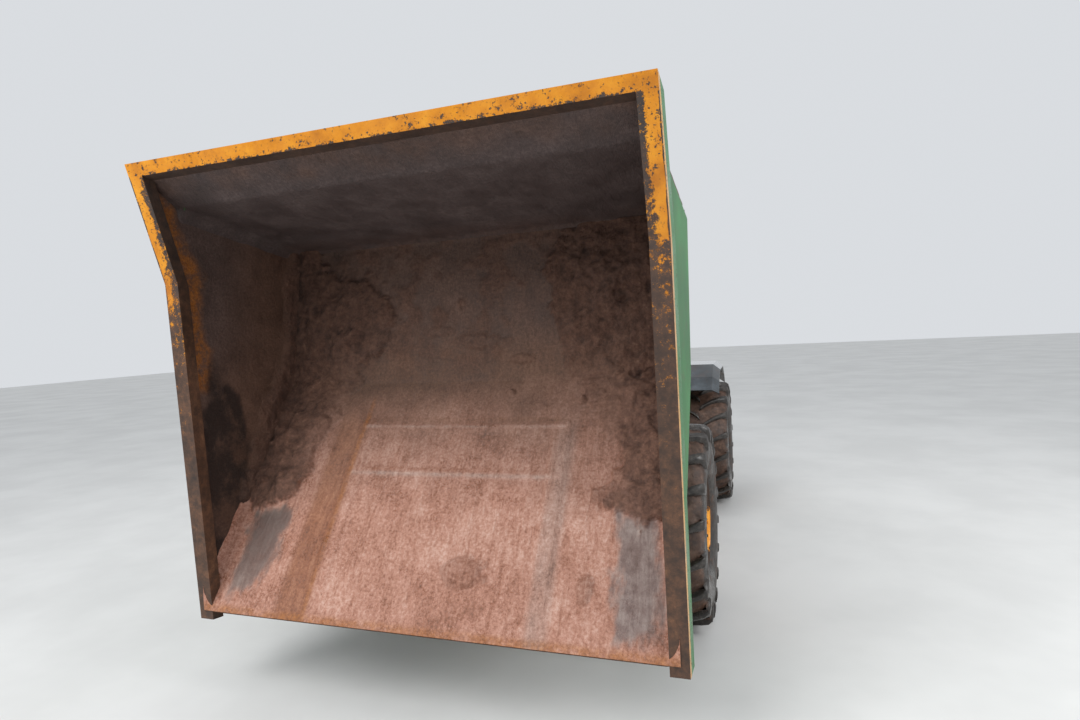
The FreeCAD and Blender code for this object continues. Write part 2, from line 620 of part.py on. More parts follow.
def cylinders():
    tip = s.tip_angle
    pin_y = hinge_y + s.tip_pin_y * cosine(tip) - s.tip_pin_z * sine(tip)
    pin_z = s.hinge_z + s.tip_pin_y * sine(tip) + s.tip_pin_z * cosine(tip)
    lean = math.degrees(math.atan2(pin_z.value - s.tip_base_z.value, pin_y.value - tip_base_y.value))
    upright = FreeCAD.Rotation(V(1, 0, 0), lean) * FreeCAD.Rotation(V(0, 0, 1), 90)
    upright = upright * FreeCAD.Rotation(V(1, 0, 0), 90)
    dy, dz = hinge_y + s.tip_pin_y - tip_base_y, s.hinge_z + s.tip_pin_z - s.tip_base_z
    closed = root(dy * dy + dz * dz)
    barrel = barrel_shape("tip_barrel", s.tip_barrel, closed - s.tip_show, s.tip_rod, s.tip_eye,
                          s.tip_eye, s.tip_base_pin, s.tip_neck)
    rod = rod_shape("tip_rod", s.tip_rod, closed - s.tip_stop, s.tip_eye, 2 * s.tip_eye_half)
    for name, side in SIDES.items():
        for kind, shape, y, z in (("barrel", barrel, tip_base_y, s.tip_base_z), ("rod", rod, pin_y, pin_z)):
            copy = place(together(f"tip_{kind}_{name}", shape), side * s.tip_x, y, z)
            copy.Placement = FreeCAD.Placement(copy.Placement.Base, upright)
            node(copy)
    base_y, end_y = bay_front - s.ram_behind, s.cross_back + s.ram_ahead
    apart, width = base_y - end_y, 2 * s.ram_gap - 12
    barrel = barrel_shape("ram_barrel", s.ram_barrel, apart - s.ram_show, s.ram_rod, s.ram_eye, width,
                          s.ram_pin, 0)
    rod = rod_shape("ram_rod", s.ram_rod, apart - s.ram_stop, s.ram_eye, width)
    for name, side in SIDES.items():
        x = side * s.ram_x
        node(place(together(f"steer_barrel_{name}", barrel), x, base_y, s.ram_z, angle=-90))
        node(place(together(f"steer_rod_{name}", rod), x, end_y, s.ram_z, angle=-90))


# Rear frame and what stands on it.
def rear_frame():
    arch = s.arch_half
    side_plate = [(s.deck_nose, s.neck_high), (s.deck_nose, s.deck_under), (tail, s.deck_under),
                  (tail, s.tail_low), (rear_axle_y + arch + 170, s.tail_low),
                  (rear_axle_y + arch, s.frame_low), (rear_axle_y - arch, s.frame_low),
                  (bay_back, s.bay_low), (bay_front, s.bay_low), (bay_front, s.neck_high)]
    base_y = bay_front - s.ram_behind
    pieces = []
    for side in SIDES.values():
        pieces.append(plate("side_plate", "YZ", side_plate, mirrored(side, s.plate_in, s.plate_out)))
        pieces += ram_ears(side * s.ram_x, base_y, bay_front)
        pieces.append(bar("ram_base_pin", s.ram_pin, 2 * s.ram_gap, side * s.ram_x, base_y,
                          s.ram_z - s.ram_gap, sides=8))
    inside = (-s.plate_in, s.plate_in)
    eye_low, eye_high = s.ear_low + s.ear_thick + s.ear_gap, s.ear_high - s.ear_gap
    neck = [(-s.ear_radius, s.pivot_y), (s.ear_radius, s.pivot_y), (s.neck_half, neck_front),
            (-s.neck_half, neck_front)]
    wall, bearer = s.wall_thick, (s.engine_low - 60, s.engine_low)
    pieces += [
        plate("neck_eye", "XY", neck, (eye_low, eye_high)),
        bar("neck_round", s.ear_radius, eye_high - eye_low, 0, s.pivot_y, eye_low, sides=8),
        block("neck", (-s.neck_half, s.neck_half), (neck_front, bay_front), (s.bay_low, s.neck_high)),
        block("bay_wall", inside, (bay_front, bay_front + wall), (s.bay_low, s.deck_under)),
        block("tail_wall", inside, (tail - wall, tail), (s.tail_low, s.deck_under)),
        block("belly", inside, (bay_front, bay_back), (s.bay_low, s.bay_low + wall / 2)),
    ]
    back = tail - s.engine_gap
    front = back - s.engine_length
    for y in (front + 15, back - 100):
        pieces.append(block("engine_bearer", inside, (y, y + 80), bearer))
    lid_y, lid_z, round_ = tail + s.lid_behind, s.deck_under + s.lid_rise, s.lid_round
    foot, top = s.deck_under - round_, lid_z + round_
    ear = [(tail - 4, foot), (lid_y + round_, foot), (lid_y + round_, top - 8), (lid_y + 8, top),
           (lid_y - 6, top), (tail - 4, lid_z)]
    for side in SIDES.values():
        outer = s.plate_in + s.cheek_thick
        pieces += [plate("lid_ear", "YZ", ear, mirrored(side, s.plate_in, outer)),
                   bar("lid_pin", s.lid_pin, outer + 6 - 344, mirrored(side, 344, outer + 6)[0], lid_y, lid_z,
                       "x", 6)]
    hole = bore("neck_bore", s.pin_radius + s.running, s.neck_high, 0, s.pivot_y, 0)
    node(cut("rear_chassis", fused("rear_weldment", *pieces), hole))
    half, corner = s.weight_half, s.weight_corner
    weight = [(-half, tail), (half, tail), (half, rear_end - 0.7 * corner), (half - corner, rear_end),
              (corner - half, rear_end), (-half, rear_end - 0.7 * corner)]
    slab = plate("slab", "XY", weight, (s.weight_low, s.weight_high))
    jaw = block("jaw", (-s.jaw_half, s.jaw_half), (rear_end - 90, rear_end + 10), (s.jaw_low, s.jaw_high))
    tow = bore("tow_bore", s.tow_radius, s.weight_high, 0, rear_end - 40, 0)
    node(cut("counterweight", slab, jaw, tow))
    engine = [(front, s.engine_low), (front, deck_top - 30), (front + s.engine_length / 4, s.engine_high),
              (back, s.engine_high), (back, s.engine_low)]
    node(plate("engine_block", "YZ", engine, (-s.engine_half, s.engine_half)))
    low, high, start = s.bay_low + wall / 2, s.gearbox_high, bay_front + wall
    end = bay_back - s.fit
    gearbox = [(start, low), (end, low), (end, high - 60), (end - 100, high), (start, high)]
    node(plate("gearbox_block", "YZ", gearbox, (-s.gearbox_half, s.gearbox_half)))


def driving_place():
    wing, back = s.tank_out, bar_y - s.bar_half - 10
    wing_front = tank_back - s.wing_length
    half_deck = [(s.deck_front, s.deck_nose), (s.deck_front, wing_front), (wing, wing_front),
                 (wing, tank_back), (deck_half, tank_back), (deck_half, back)]
    deck = half_deck + [(-x, y) for x, y in half_deck[::-1]]
    node(plate("deck", "XY", deck, (s.deck_under, deck_top)))
    front, rear, low, corner = tank_front, tank_back, s.tank_low, s.tank_corner
    tank = [(front, low + corner), (front + corner, low), (rear - corner, low), (rear, low + corner),
            (rear, s.deck_under), (front, s.deck_under)]
    for label, side in (("hydraulic_tank", 1), ("fuel_tank", -1)):
        node(plate(label, "YZ", tank, mirrored(side, s.plate_out, s.tank_out)))
    node(together("steps", *[ladder(side) for side in SIDES.values()]))
    node(console())
    lean = math.radians(s.column_lean.value)
    foot_y, foot_z = column_foot()
    node(steering_wheel(foot_y + s.column_length * math.sin(lean), foot_z + s.column_length * math.cos(lean)))
    back, top, high = bar_y - s.seat_gap, s.seat_under, s.seat_high
    front = back - s.seat_base_deep
    base = [(front, deck_top), (back, deck_top), (back - 20, top), (front + 20, top)]
    node(plate("seat_base", "YZ", base, (-s.seat_base_half, s.seat_base_half)))
    front, pad = back - s.seat_deep, s.cushion
    seat = [(front + 10, top), (back - 10, top), (back + 50, top + pad / 2), (back + 90, high - 20),
            (back, high), (back - 50, top + pad), (front + 30, top + pad + 10), (front, top + pad / 2)]
    node(plate("seat", "YZ", seat, (-s.seat_half, s.seat_half)))
    node(together("handrails", *[handrail(side) for side in SIDES.values()]))


def ladder(side):
    """Two treads between cheeks on a back plate, at the foot of a tank's outer side."""
    near, thin = s.tank_out, s.guard_skin
    start, end, low = tank_front + 20, tank_back - 20, s.step_low
    top = (low + deck_top) / 2
    width = mirrored(side, near + thin, near + s.step_width)
    back = block("ladder_back", mirrored(side, near, near + thin), (start, end), (low, deck_top - 25))
    cheeks = [block("cheek", width, (y, y + thin), (low, top)) for y in (start, end - thin)]
    treads = [block("tread", width, (start + thin, end - thin), (z, z + 12)) for z in (low, top - 12)]
    return fused("ladder", back, *cheeks, *treads)


def column_foot():
    """Where the steering column leaves the console."""
    return bay_front - s.console_ahead + 0.77 * s.dash_deep, deck_top + 0.8 * s.dash_high


def console():
    y, low, half = bay_front - s.console_ahead, deck_top, s.console_half
    deep, high = s.dash_deep, s.dash_high
    side = [(y, low), (y + 0.64 * deep, low), (y + 0.75 * deep, low + 0.58 * high),
            (y + deep, low + 0.775 * high), (y + deep / 2, low + high), (y, low + 0.9 * high)]
    dash = plate("dash", "YZ", side, (-half, half))
    foot_y, foot_z = column_foot()
    places = ((0.68 * half, 5), (0.84 * half, -15))
    levers = [bar("lever", 8, 200, x, foot_y + ahead, foot_z + 25, sides=6) for x, ahead in places]
    column = bar("column", s.column_radius, s.column_length, sides=8)
    place(column, 0, foot_y, foot_z, V(1, 0, 0), -s.column_lean)
    return fused("console", dash, column, *levers)


def steering_wheel(y, z):
    """A rim, boss and three spokes in the XY plane, then tilted on the column's end."""
    grip, thick = s.wheel_grip, s.grip_thick
    rim = cut("hand_rim", bar("ring", grip, thick, sides=12),
              bar("hole", grip - 1.1 * thick, 2 * thick, z=-thick / 2, sides=12))
    spokes = []
    for angle in (90, 210, 330):
        spoke = named(doc.addObject("Part::Box", "Box"), "spoke")
        bind(spoke, Length=grip - 0.8 * thick, Width=24, Height=thick / 2)
        spokes.append(place(spoke, z=thick / 4, angle=angle))
    wheel = fused("steering_wheel", rim, *spokes, bar("boss", 34, thick, sides=8))
    return place(wheel, 0, y, z, V(1, 0, 0), -s.column_lean)


def handrail(side):
    """A hoop of tube beside the way up, bent at its two upper corners."""
    x, tube, low = deck_half - 50, s.rail_tube, deck_top
    front, top, turn = tank_back - s.handrail_ahead, s.handrail_high, s.handrail_length / 4
    back = front + s.handrail_length
    outer = [(front - tube, low), (front - tube, top - turn), (front + turn - tube, top + tube),
             (back - turn + tube, top + tube), (back + tube, top - turn), (back + tube, low)]
    bend = 0.4 * tube
    inner = [(back - tube, low), (back - tube, top - turn - bend), (back - turn, top - tube),
             (front + turn, top - tube), (front + tube, top - turn - bend), (front + tube, low)]
    return plate("hoop", "YZ", outer + inner, mirrored(side, x - tube, x + tube))


def mudguards():
    """Skins of flat facets over the rear tyres, drawn in at the outer edge, with a flank inside."""
    radius, guard_in = s.tyre_radius + s.guard_gap, deck_half + 10
    table = (137, 125.5, 110, 70, 54.5, 43)

    def facets(reach):
        return [(reach * math.cos(math.radians(a)), reach * math.sin(math.radians(a))) for a in table]

    guards = []
    for side in SIDES.values():
        body = doc.addObject("PartDesign::Body", "Body")
        sections = []
        for x, drop in ((guard_in, 0), (s.guard_flat, 0), (s.guard_out, s.guard_lip)):
            drawing = sketch(body, "YZ", facets(radius - drop) + facets(radius - drop - s.guard_skin)[::-1])
            drawing.setExpression("AttachmentOffset.Base.z", (side * x).text)
            sections.append(drawing)
        loft = body.newObject("PartDesign::AdditiveLoft", "Loft")
        loft.Profile, loft.Sections, loft.Ruled = sections[0], sections[1:], True
        body.Tip = loft
        place(body, 0, rear_axle_y, s.tyre_radius)
        top = facets(radius)
        foot = s.deck_under - s.tyre_radius
        flank = [(top[0][0], foot)] + top + [(top[-1][0], foot)]
        span = mirrored(side, deck_half, guard_in)
        valance = plate("valance", "YZ", [(y + rear_axle_y, z + s.tyre_radius) for y, z in flank], span)
        guards.append(fused("guard", body, valance))
    node(together("mudguards", *guards))


def roll_bar():
    y, z, half = bar_y, s.bar_hinge_z, s.bar_half
    thick, gap = s.cheek_thick, s.cheek_gap
    foot = deck_top + 15
    wide = s.bar_out + gap + thick + 4
    pieces = [block("foot_beam", (-wide, wide), (y - half - 5, y + half + 5), (s.deck_under, foot))]
    for side in SIDES.values():
        span = mirrored(side, s.bar_in, s.bar_out)
        deep = (y - half, y + half)
        pieces.append(block("foot", span, deep, (foot - 5, z - half - 30)))
        for x in (s.bar_in - gap - thick, s.bar_out + gap):
            pieces.append(block("cheek", mirrored(side, x, x + thick), deep, (foot - 5, z + half)))
        out = gap + thick + 6
        pieces.append(bar("bar_pin", s.bar_pin, s.bar_out - s.bar_in + 2 * out, span[0] - out, y, z, "x", 6))
    node(fused("rops_brackets", *pieces))
    top, out, inn, turn = s.bar_top, s.bar_out, s.bar_in, s.bar_corner
    width = out - inn
    bend = 0.59 * turn
    right = [(out, z), (out, top - turn), (out - 0.3 * turn, top - 0.3 * turn), (out - turn, top)]
    hoop = [(-x, h) for x, h in right] + right[::-1]
    left = [(inn, z), (inn, top - width - bend), (inn - 0.3 * bend, top - width - 0.3 * bend),
            (inn - bend, top - width)]
    hoop += left + [(-x, h) for x, h in left[::-1]]
    pieces = [plate("hoop", "XZ", hoop, (y - half, y + half))]
    for side in SIDES.values():
        low = mirrored(side, inn, out)[0]
        pieces.append(bar("hoop_foot", half, width, low, y, z, "x", 8))
    hole = bore("bar_bore", s.bar_pin + s.running, 2 * beyond, -beyond, y, z, "x")
    node(cut("rops_frame", fused("rops_hoop", *pieces), hole))
    node(bar("beacon", s.beacon_radius, s.beacon_high, s.beacon_x, y, top, sides=10))


def bonnet():
    low, high = s.deck_under + s.bonnet_rise, s.bonnet_high
    front, back = rear_axle_y + s.bonnet_behind, tail - s.bonnet_gap
    outline = [(front, low), (back, low), (back, high - 120), (back - 70, high - 30), (front + 90, high),
               (front, high - 70)]
    body = plate("bonnet_skin", "YZ", outline, (-s.bonnet_half, s.bonnet_half))
    doc.recompute()
    faces = [f"Face{n}" for n, face in enumerate(body.Tip.Shape.Faces, 1) if face.normalAt(0, 0).z < -0.9]
    dressed(body, "Thickness", faces, Value=s.bonnet_skin)
    body.Tip.Reversed = True
    body.Tip.Join = 1
    lid_y, lid_z, reach = tail + s.lid_behind, s.deck_under + s.lid_rise, s.lid_round
    lugs = []
    for side in SIDES.values():
        span = mirrored(side, s.plate_in - 5 - s.lug_thick, s.plate_in - 5)
        lugs += [block("lid_arm", span, (back - 1, lid_y), (lid_z - 12, lid_z + reach)),
                 bar("lid_round", reach, s.lug_thick, span[0], lid_y, lid_z, "x", 6)]
    hole = bore("lid_bore", s.lid_pin + s.running, 2 * beyond, -beyond, lid_y, lid_z, "x")
    node(cut("bonnet_shell", fused("bonnet_blank", body, *lugs), hole))
    half, start, tall = 0.7 * s.bonnet_half, low + 85, 240
    slats = [block("grille_frame", (-half, half), (back, back + 4), (start, start + tall))]
    rows = 6
    for row in range(rows):
        z = start + 15 + row * (tall - 10) / rows
        slats.append(block("slat", (10 - half, half - 10), (back + 4, back + 9), (z, z + 22)))
    node(fused("bonnet_grille", *slats))


def trim():
    x, y = deck_half - s.silencer_in, bar_y + 90
    low, long = s.deck_under, s.silencer_length
    pipe = [bar("silencer", s.silencer_radius, long, -x, y, low, sides=10),
            bar("tail_pipe", s.pipe_radius, s.pipe_length, -x, y, low + long, sides=8),
            block("pipe_bracket", (-x, -s.plate_out), (y - 25, y + 25), (low - 20, low))]
    node(fused("exhaust", *pipe))
    lamps = [block("tail_lamp", (x - s.lamp_half, x + s.lamp_half), (rear_end - 70, rear_end - 10),
                   (s.weight_high, s.weight_high + s.lamp_high)) for x in (-s.lamp_x, s.lamp_x)]
    node(together("tail_lamps", *lamps))


def main():
    wheels()
    axles()
    front_frame()
    skip()
    cylinders()
    rear_frame()
    driving_place()
    mudguards()
    roll_bar()
    bonnet()
    trim()
    doc.recompute()
    bad = [f"{o.Label}: {o.State}" for o in doc.Objects if {"Invalid", "Error"} & set(o.State)]
    for thing in NODES:
        shape = thing.Shape
        if shape.isNull() or not shape.isValid() or not shape.Solids:
            bad.append(f"{thing.Label}: no sound solid")
    if bad:
        raise SystemExit("not built: " + "; ".join(bad))
    os.makedirs("parts", exist_ok=True)
    for thing in NODES:
        thing.Shape.exportStep(f"parts/{thing.Label}.step")
        print(thing.Label, len(thing.Shape.Solids), "solids", [round(v) for v in (
            thing.Shape.BoundBox.XMin, thing.Shape.BoundBox.XMax, thing.Shape.BoundBox.YMin,
            thing.Shape.BoundBox.YMax, thing.Shape.BoundBox.ZMin, thing.Shape.BoundBox.ZMax)])


main()
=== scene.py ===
# Looks of the articulated site dumper: finishes, mud, tyres, seat and small parts on the fixed frame.
# Metres, in the frame's own axes: the machine faces -Y, +Z is up, +X is its left side.
import bpy
import bmesh
import json
import numpy as np
from functools import partial
from math import cos, hypot, pi, radians, sin
from mathutils import Matrix, Vector
from numpy.linalg import norm


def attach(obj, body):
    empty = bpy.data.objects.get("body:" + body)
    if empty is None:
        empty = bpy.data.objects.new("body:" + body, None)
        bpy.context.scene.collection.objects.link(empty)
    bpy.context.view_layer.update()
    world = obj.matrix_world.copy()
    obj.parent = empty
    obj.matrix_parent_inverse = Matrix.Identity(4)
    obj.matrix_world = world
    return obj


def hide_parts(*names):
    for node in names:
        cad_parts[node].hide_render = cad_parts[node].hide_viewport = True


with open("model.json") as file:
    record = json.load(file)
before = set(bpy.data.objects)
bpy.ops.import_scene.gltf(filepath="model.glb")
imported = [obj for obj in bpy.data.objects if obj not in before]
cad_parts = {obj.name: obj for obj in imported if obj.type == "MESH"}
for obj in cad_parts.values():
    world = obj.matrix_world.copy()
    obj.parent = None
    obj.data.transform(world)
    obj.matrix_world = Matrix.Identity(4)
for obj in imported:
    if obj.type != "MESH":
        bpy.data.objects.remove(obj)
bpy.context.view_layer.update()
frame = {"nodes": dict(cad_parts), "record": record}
SCENE = bpy.context.scene

# Camera, at the photograph's place: fitted to the skip's rim and the two tyres that show.
IMAGE_WIDTH = 1080
FOCAL_PIXELS = 638.6
EYE = (1.515, -4.844, 1.771)
YAW, PITCH, ROLL = (radians(a) for a in (-18.92, -2.71, -2.95))

# The frame's main places, as the solids have them.
FRONT_AXLE, REAR_AXLE, WHEEL_X, WHEEL_Z = -1, 1.7, 0.975, 0.585
HINGE = np.array((-1.344, 0.774))
TIP = radians(81)
WALL_X, WALL = 1.19, 0.01
LIP, TOE, HEEL, FOLD = (-0.505, 0.986), (0.675, 0.366), (1.525, 0.366), (1.515, 1.296)
BACK, KINK = (1.635, 1.55), (1.121, 1.301)
RAIL_DEPTH = 0.066
FILLET, SIDE_FILLET = 0.06, 0.07
CONSOLE_LEAN = radians(42)

SIDES, TURN, UP = (1, -1), 2 * pi, (0, 0, 1)
shift, rotation = Matrix.Translation, Matrix.Rotation
LOOKS = {}


def colour(text):
    """Linear colour of an sRGB hex triple."""
    parts = [int(text[i:i + 2], 16) / 255 for i in (0, 2, 4)]
    return tuple(c / 12.92 if c <= 0.04045 else ((c + 0.055) / 1.055) ** 2.4 for c in parts) + (1,)


# Procedural materials.
def operator(kind, back=False):
    """A method that makes a Math node of a field and another value."""
    return lambda a, b: a.tree.math(kind, b, a) if back else a.tree.math(kind, a, b)


class Field:
    """A node's output, for sums, products and comparisons."""

    def __init__(self, tree, socket):
        self.tree, self.socket = tree, socket

    __add__, __mul__, __sub__ = operator("ADD"), operator("MULTIPLY"), operator("SUBTRACT")
    __rsub__, __gt__, __lt__ = operator("SUBTRACT", True), operator("GREATER_THAN"), operator("LESS_THAN")

    def clamped(self):
        """The same sum or product, held between 0 and 1."""
        self.socket.node.use_clamp = True
        return self

    def span(self, low, high, start=0, end=1):
        """Smooth step from start to end between low and high."""
        return self.tree.add("MapRange", {0: self, 1: low, 2: high, 3: start, 4: end},
                             interpolation_type="SMOOTHSTEP")


class Tree:
    """Builds one material's nodes."""

    def __init__(self, name):
        self.name, self.material = name, bpy.data.materials.new(name)
        self.material.use_nodes = True
        tree = self.material.node_tree
        self.nodes, self.links = tree.nodes, tree.links
        self.shader = self.nodes["Principled BSDF"]
        self.place = self.add("TexCoord", output="Object")

    def add(self, kind, inputs=None, output=0, **settings):
        """Makes a node with its inputs and settings, and gives one of its outputs."""
        node = self.nodes.new("ShaderNode" + kind)
        for key, value in settings.items():
            setattr(node, key, value)
        for key, value in (inputs or {}).items():
            self.put(node.inputs[key], value)
        return Field(self, node.outputs[output])

    def put(self, socket, value):
        if isinstance(value, Field):
            self.links.new(value.socket, socket)
        else:
            socket.default_value = value

    def math(self, kind, a, b=0):
        return self.add("Math", {0: a, 1: b}, operation=kind)

    def most(self, first, *others):
        for other in others:
            first = self.math("MAXIMUM", first, other)
        return first

    def noise(self, scale, detail=5.0, rough=0.6, at=None, twist=0):
        return self.add("TexNoise", {"Vector": at or self.place, "Scale": scale, "Detail": detail,
                                     "Roughness": rough, "Distortion": twist})

    def attribute(self, name):
        return self.add("Attribute", output="Fac", attribute_name=name)

    def axis(self, letter):
        return self.add("SeparateXYZ", {0: self.place}, letter)

    def facing(self, letter):
        return self.add("SeparateXYZ", {0: self.add("TexCoord", output="Normal")}, letter)

    def mix(self, factor, a, b):
        return self.add("Mix", {0: factor, 6: a, 7: b}, 2, data_type="RGBA")

    def ramp(self, factor, shades, places=(0.3, 0.5, 0.7)):
        """Colours at places along a value."""
        made = self.add("ValToRGB", {0: factor})
        band = made.socket.node.color_ramp
        while len(band.elements) < len(places):
            band.elements.new(0.5)
        for element, spot, shade in zip(band.elements, places, shades.split()):
            element.position, element.color = spot, colour(shade)
        return made

    def edges(self, radius):
        """1 along the sharp edges of a solid, 0 away from them."""
        soft = self.add("Bevel", {"Radius": radius}, samples=4)
        true = self.add("NewGeometry", output="True Normal")
        same = self.add("VectorMath", {0: soft, 1: true}, "Value", operation="DOT_PRODUCT")
        return (1 - same).span(0.02, 0.2)

    def bump(self, height, distance, strength=1):
        return self.add("Bump", {"Height": height, "Distance": distance, "Strength": strength})

    def finish(self, base, rough, normal=None, **plain):
        """Sets the shader, its other sockets by name with _ for spaces, and keeps the material."""
        plain.update(Base_Color=base, Roughness=rough)
        if normal:
            plain["Normal"] = normal
        for key, value in plain.items():
            self.put(self.shader.inputs[key.replace("_", " ")], value)
        LOOKS[self.name] = self.material


RUST = ("2A1A13 4F2E1E 6E4328", (0.3, 0.5, 0.68))
MUD = ("3A261D 5A3D2E 7A5743", (0.28, 0.5, 0.72))
YELLOW = "C27F12 DB9A1C E8AC30"
GREEN = "1B5A28 256B31 338040"
BLACK = "131416 1E1F21 2E2E2F"
MARKS = ("mud", "steel", "ochre", "dark", "shade", "hollow", "tan", "pale")


def painted(name, shades, chips, mud, mud_top=1.2, edge=0.012, gloss=0.35):
    """Worn paint over rusty steel: chipped at its edges, splashed with mud from below."""
    t = Tree(name)
    fine = t.noise(55, 6, 0.7)
    paint = t.ramp(t.noise(2.2, 4, 0.55), shades)
    paint = t.mix(t.noise(14, 6, 0.7).span(0.45, 0.8, 0, 0.45), paint, t.ramp(fine, *MUD))
    wear = t.edges(edge) + fine * 0.9 + t.noise(4.5, 5, 0.6) * 0.5
    bare = wear.span(1.75 - chips, 1.85 - chips)
    base = t.mix(bare, paint, t.ramp(t.noise(30, 5, 0.65), *RUST))
    splash = t.axis("Z").span(mud_top, 0.2) * mud + t.noise(9, 8, 0.72) * 0.8
    flat = t.facing("Z").span(0.6, 0.95) * (0.3 * mud)
    covered = (splash + flat).span(0.72, 0.92)
    base = t.mix(covered, base, t.ramp(t.noise(20, 7, 0.7), *MUD))
    rough = (covered * 0.35 + gloss + bare * 0.25).clamped()
    rise = covered * t.noise(60, 6, 0.7) - bare * 0.25
    t.finish(base, rough, t.bump(rise, 0.003, 0.7))


def iron(name):
    t = Tree(name)
    base = t.ramp(t.noise(8, 8, 0.7), "241C18 45332A 6B4E3D")
    t.finish(base, t.noise(5).span(0.3, 0.7, 0.45, 0.85), t.bump(t.noise(70, 8, 0.75), 0.004, 0.8))


def metal(name, shade, rough, dirt):
    t = Tree(name)
    grime = (t.noise(12, 7, 0.7) + t.noise(3, 3)).span(1.2 - dirt, 1.5 - dirt)
    base = t.mix(grime, colour(shade), t.ramp(t.noise(25), *MUD))
    shine = grime * 0.45 + t.noise(80, 4).span(0.3, 0.7, rough, rough + 0.12)
    t.finish(base, shine, t.bump(t.noise(120, 4), 0.0006, 0.5), Metallic=1 - grime)


def rubber(name):
    """Tyre rubber under drying clay: dark on the lugs' faces, caked between them."""
    t = Tree(name)
    caked = (t.noise(11, 8, 0.75) * 1.5 - t.attribute("lug") * 0.62).span(0.4, 0.7)
    gum = t.ramp(t.noise(35, 6, 0.7), "1D1A18 37322E 5A534D", (0.3, 0.55, 0.75))
    clay = t.ramp(t.noise(18, 7, 0.7), "2F2019 4F392D 74594A")
    rise = caked * t.noise(45, 8, 0.75) + t.noise(140, 5) * 0.12
    rough = (0.74 - t.noise(3.5, 4).span(0.45, 0.6) * 0.3 - (1 - caked) * 0.2).clamped()
    t.finish(t.mix(caked, gum, clay), rough, t.bump(rise, 0.006, 0.9))


def plastic(name, shades, rough, dust=0.35, wet=0):
    t = Tree(name)
    film = (t.noise(7, 7, 0.7) + t.facing("Z") * 0.2).span(0.85 - dust, 1.3 - dust)
    base = t.mix(film * 0.55, t.ramp(t.noise(5, 5), shades), t.ramp(t.noise(26, 6), *MUD))
    shine = (film * 0.3 + rough - t.facing("Z").span(0.3, 0.8) * wet).clamped()
    t.finish(base, shine, t.bump(t.noise(220, 3), 0.0008, 0.5), Coat_Weight=wet, Coat_Roughness=0.08)


def vinyl(name):
    """Grained black covering with a light bloom of dust in random patches."""
    t = Tree(name)
    base = t.ramp(t.noise(9, 6, 0.7), "17161A 232226 38342F", (0.35, 0.6, 0.8))
    grain_cells = t.add("TexVoronoi", {"Vector": t.place, "Scale": 420}, "Distance")
    rise = grain_cells * 0.6 + t.noise(40, 5) * 0.5
    t.finish(base, t.noise(14).span(0.3, 0.7, 0.42, 0.6), t.bump(rise, 0.0008, 0.6))


def lens(name, *stops):
    t = Tree(name)
    ribs = t.add("TexWave", {"Vector": t.place, "Scale": 45.0}, 1, bands_direction="Z")
    base = t.mix(t.noise(16, 6).span(0.5, 0.7, 0, 0.6), t.ramp(t.noise(6), *stops), colour("5A4536"))
    t.finish(base, 0.18, t.bump(ribs, 0.001, 0.5), Transmission_Weight=0.25)


def lining_skin(name):
    """Inside of the skip: clay film, thick mud, bare steel, old ochre paint and dark patches, with painted
    shade deeper in, on the mud and in hollows, and painted highlight lines.
    """
    t = Tree(name)
    mud, steel, ochre, dark, shade, hollow, tan, pale = [t.attribute(k) for k in MARKS]
    along = t.add("Mapping", {"Vector": t.place, "Scale": (26, 4.5, 4.5)})
    streak, blot, fine = t.noise(1, 8, 0.75, along, 0.9), t.noise(4.5, 7, 0.7), t.noise(70, 7, 0.75)
    film, deep = streak * 0.26 + blot * 0.3 + fine * 0.44, blot * 0.5 + fine * 0.5
    base = t.ramp(film, "64412F 936049 B5816C CB9F8D DFBEAF", (0.35, 0.43, 0.5, 0.57, 0.66))
    # The tan mark is a clay colour. The pale mark is a paler clay band plus painted highlight lines. The two
    # shade ramps paint shade, brown first and then near black.
    for factor, over, *stops in (
            (tan * 0.9, film, "5A3624 8F5A3E B07A58", (0.38, 0.5, 0.62)),
            (pale * 0.65, film, "7E6A60 A88F83 C4ADA2", (0.38, 0.5, 0.62)),
            ((shade * 2.0).clamped(), deep, "412C22 64493A 7F6050", (0.34, 0.5, 0.64)),
            (shade.span(0.5, 1), deep, "2E2725 4F4341 685B58", (0.32, 0.5, 0.64)),
            (mud, t.noise(22, 8, 0.75) * 0.6 + fine * 0.4,
             "3E2A21 6A4B3D 86614F AB8672", (0.33, 0.47, 0.58, 0.7))):
        base = t.mix(factor, base, t.ramp(over, *stops))
    # Painted shade on the mud where the shade mark is high.
    base = t.mix(shade.span(0.2, 0.75) * (mud * 0.4), base, colour("3C2C25"))
    for factor, over, *stops in (
            (steel, streak * 0.35 + t.noise(9, 7, 0.7) * 0.65, "54413A 7C6C67 A59992", (0.34, 0.47, 0.62)),
            (ochre * (t.noise(17, 9, 0.82) + streak * 0.15).span(0.42, 0.66), fine,
             "77481F A66526 BF7C34", (0.35, 0.55, 0.7)),
            (dark * blot.span(0.35, 0.55), fine, "120D0B 2A1D18 3A2A22", (0.3, 0.6, 0.8))):
        base = t.mix(factor, base, t.ramp(over, *stops))
    # Painted shade in the hollows of the mud and the film.
    base = t.mix(hollow * t.noise(7, 4).span(0.35, 0.65, 0.1, 0.6), base, colour("221713"))
    rough = ((blot + fine * 0.3).span(0.5, 0.8, 0.24, 0.58) + mud * 0.22).clamped()
    rough = (rough + shade.span(0.1, 0.6, 0, 0.35)).clamped()
    rise = fine * (mud * 0.8 + 0.4) + t.noise(26, 8, 0.72) * (mud * 1.3 + 0.6) + streak * 0.9
    t.finish(base, rough, t.bump(rise, 0.009), Specular_IOR_Level=0.5)


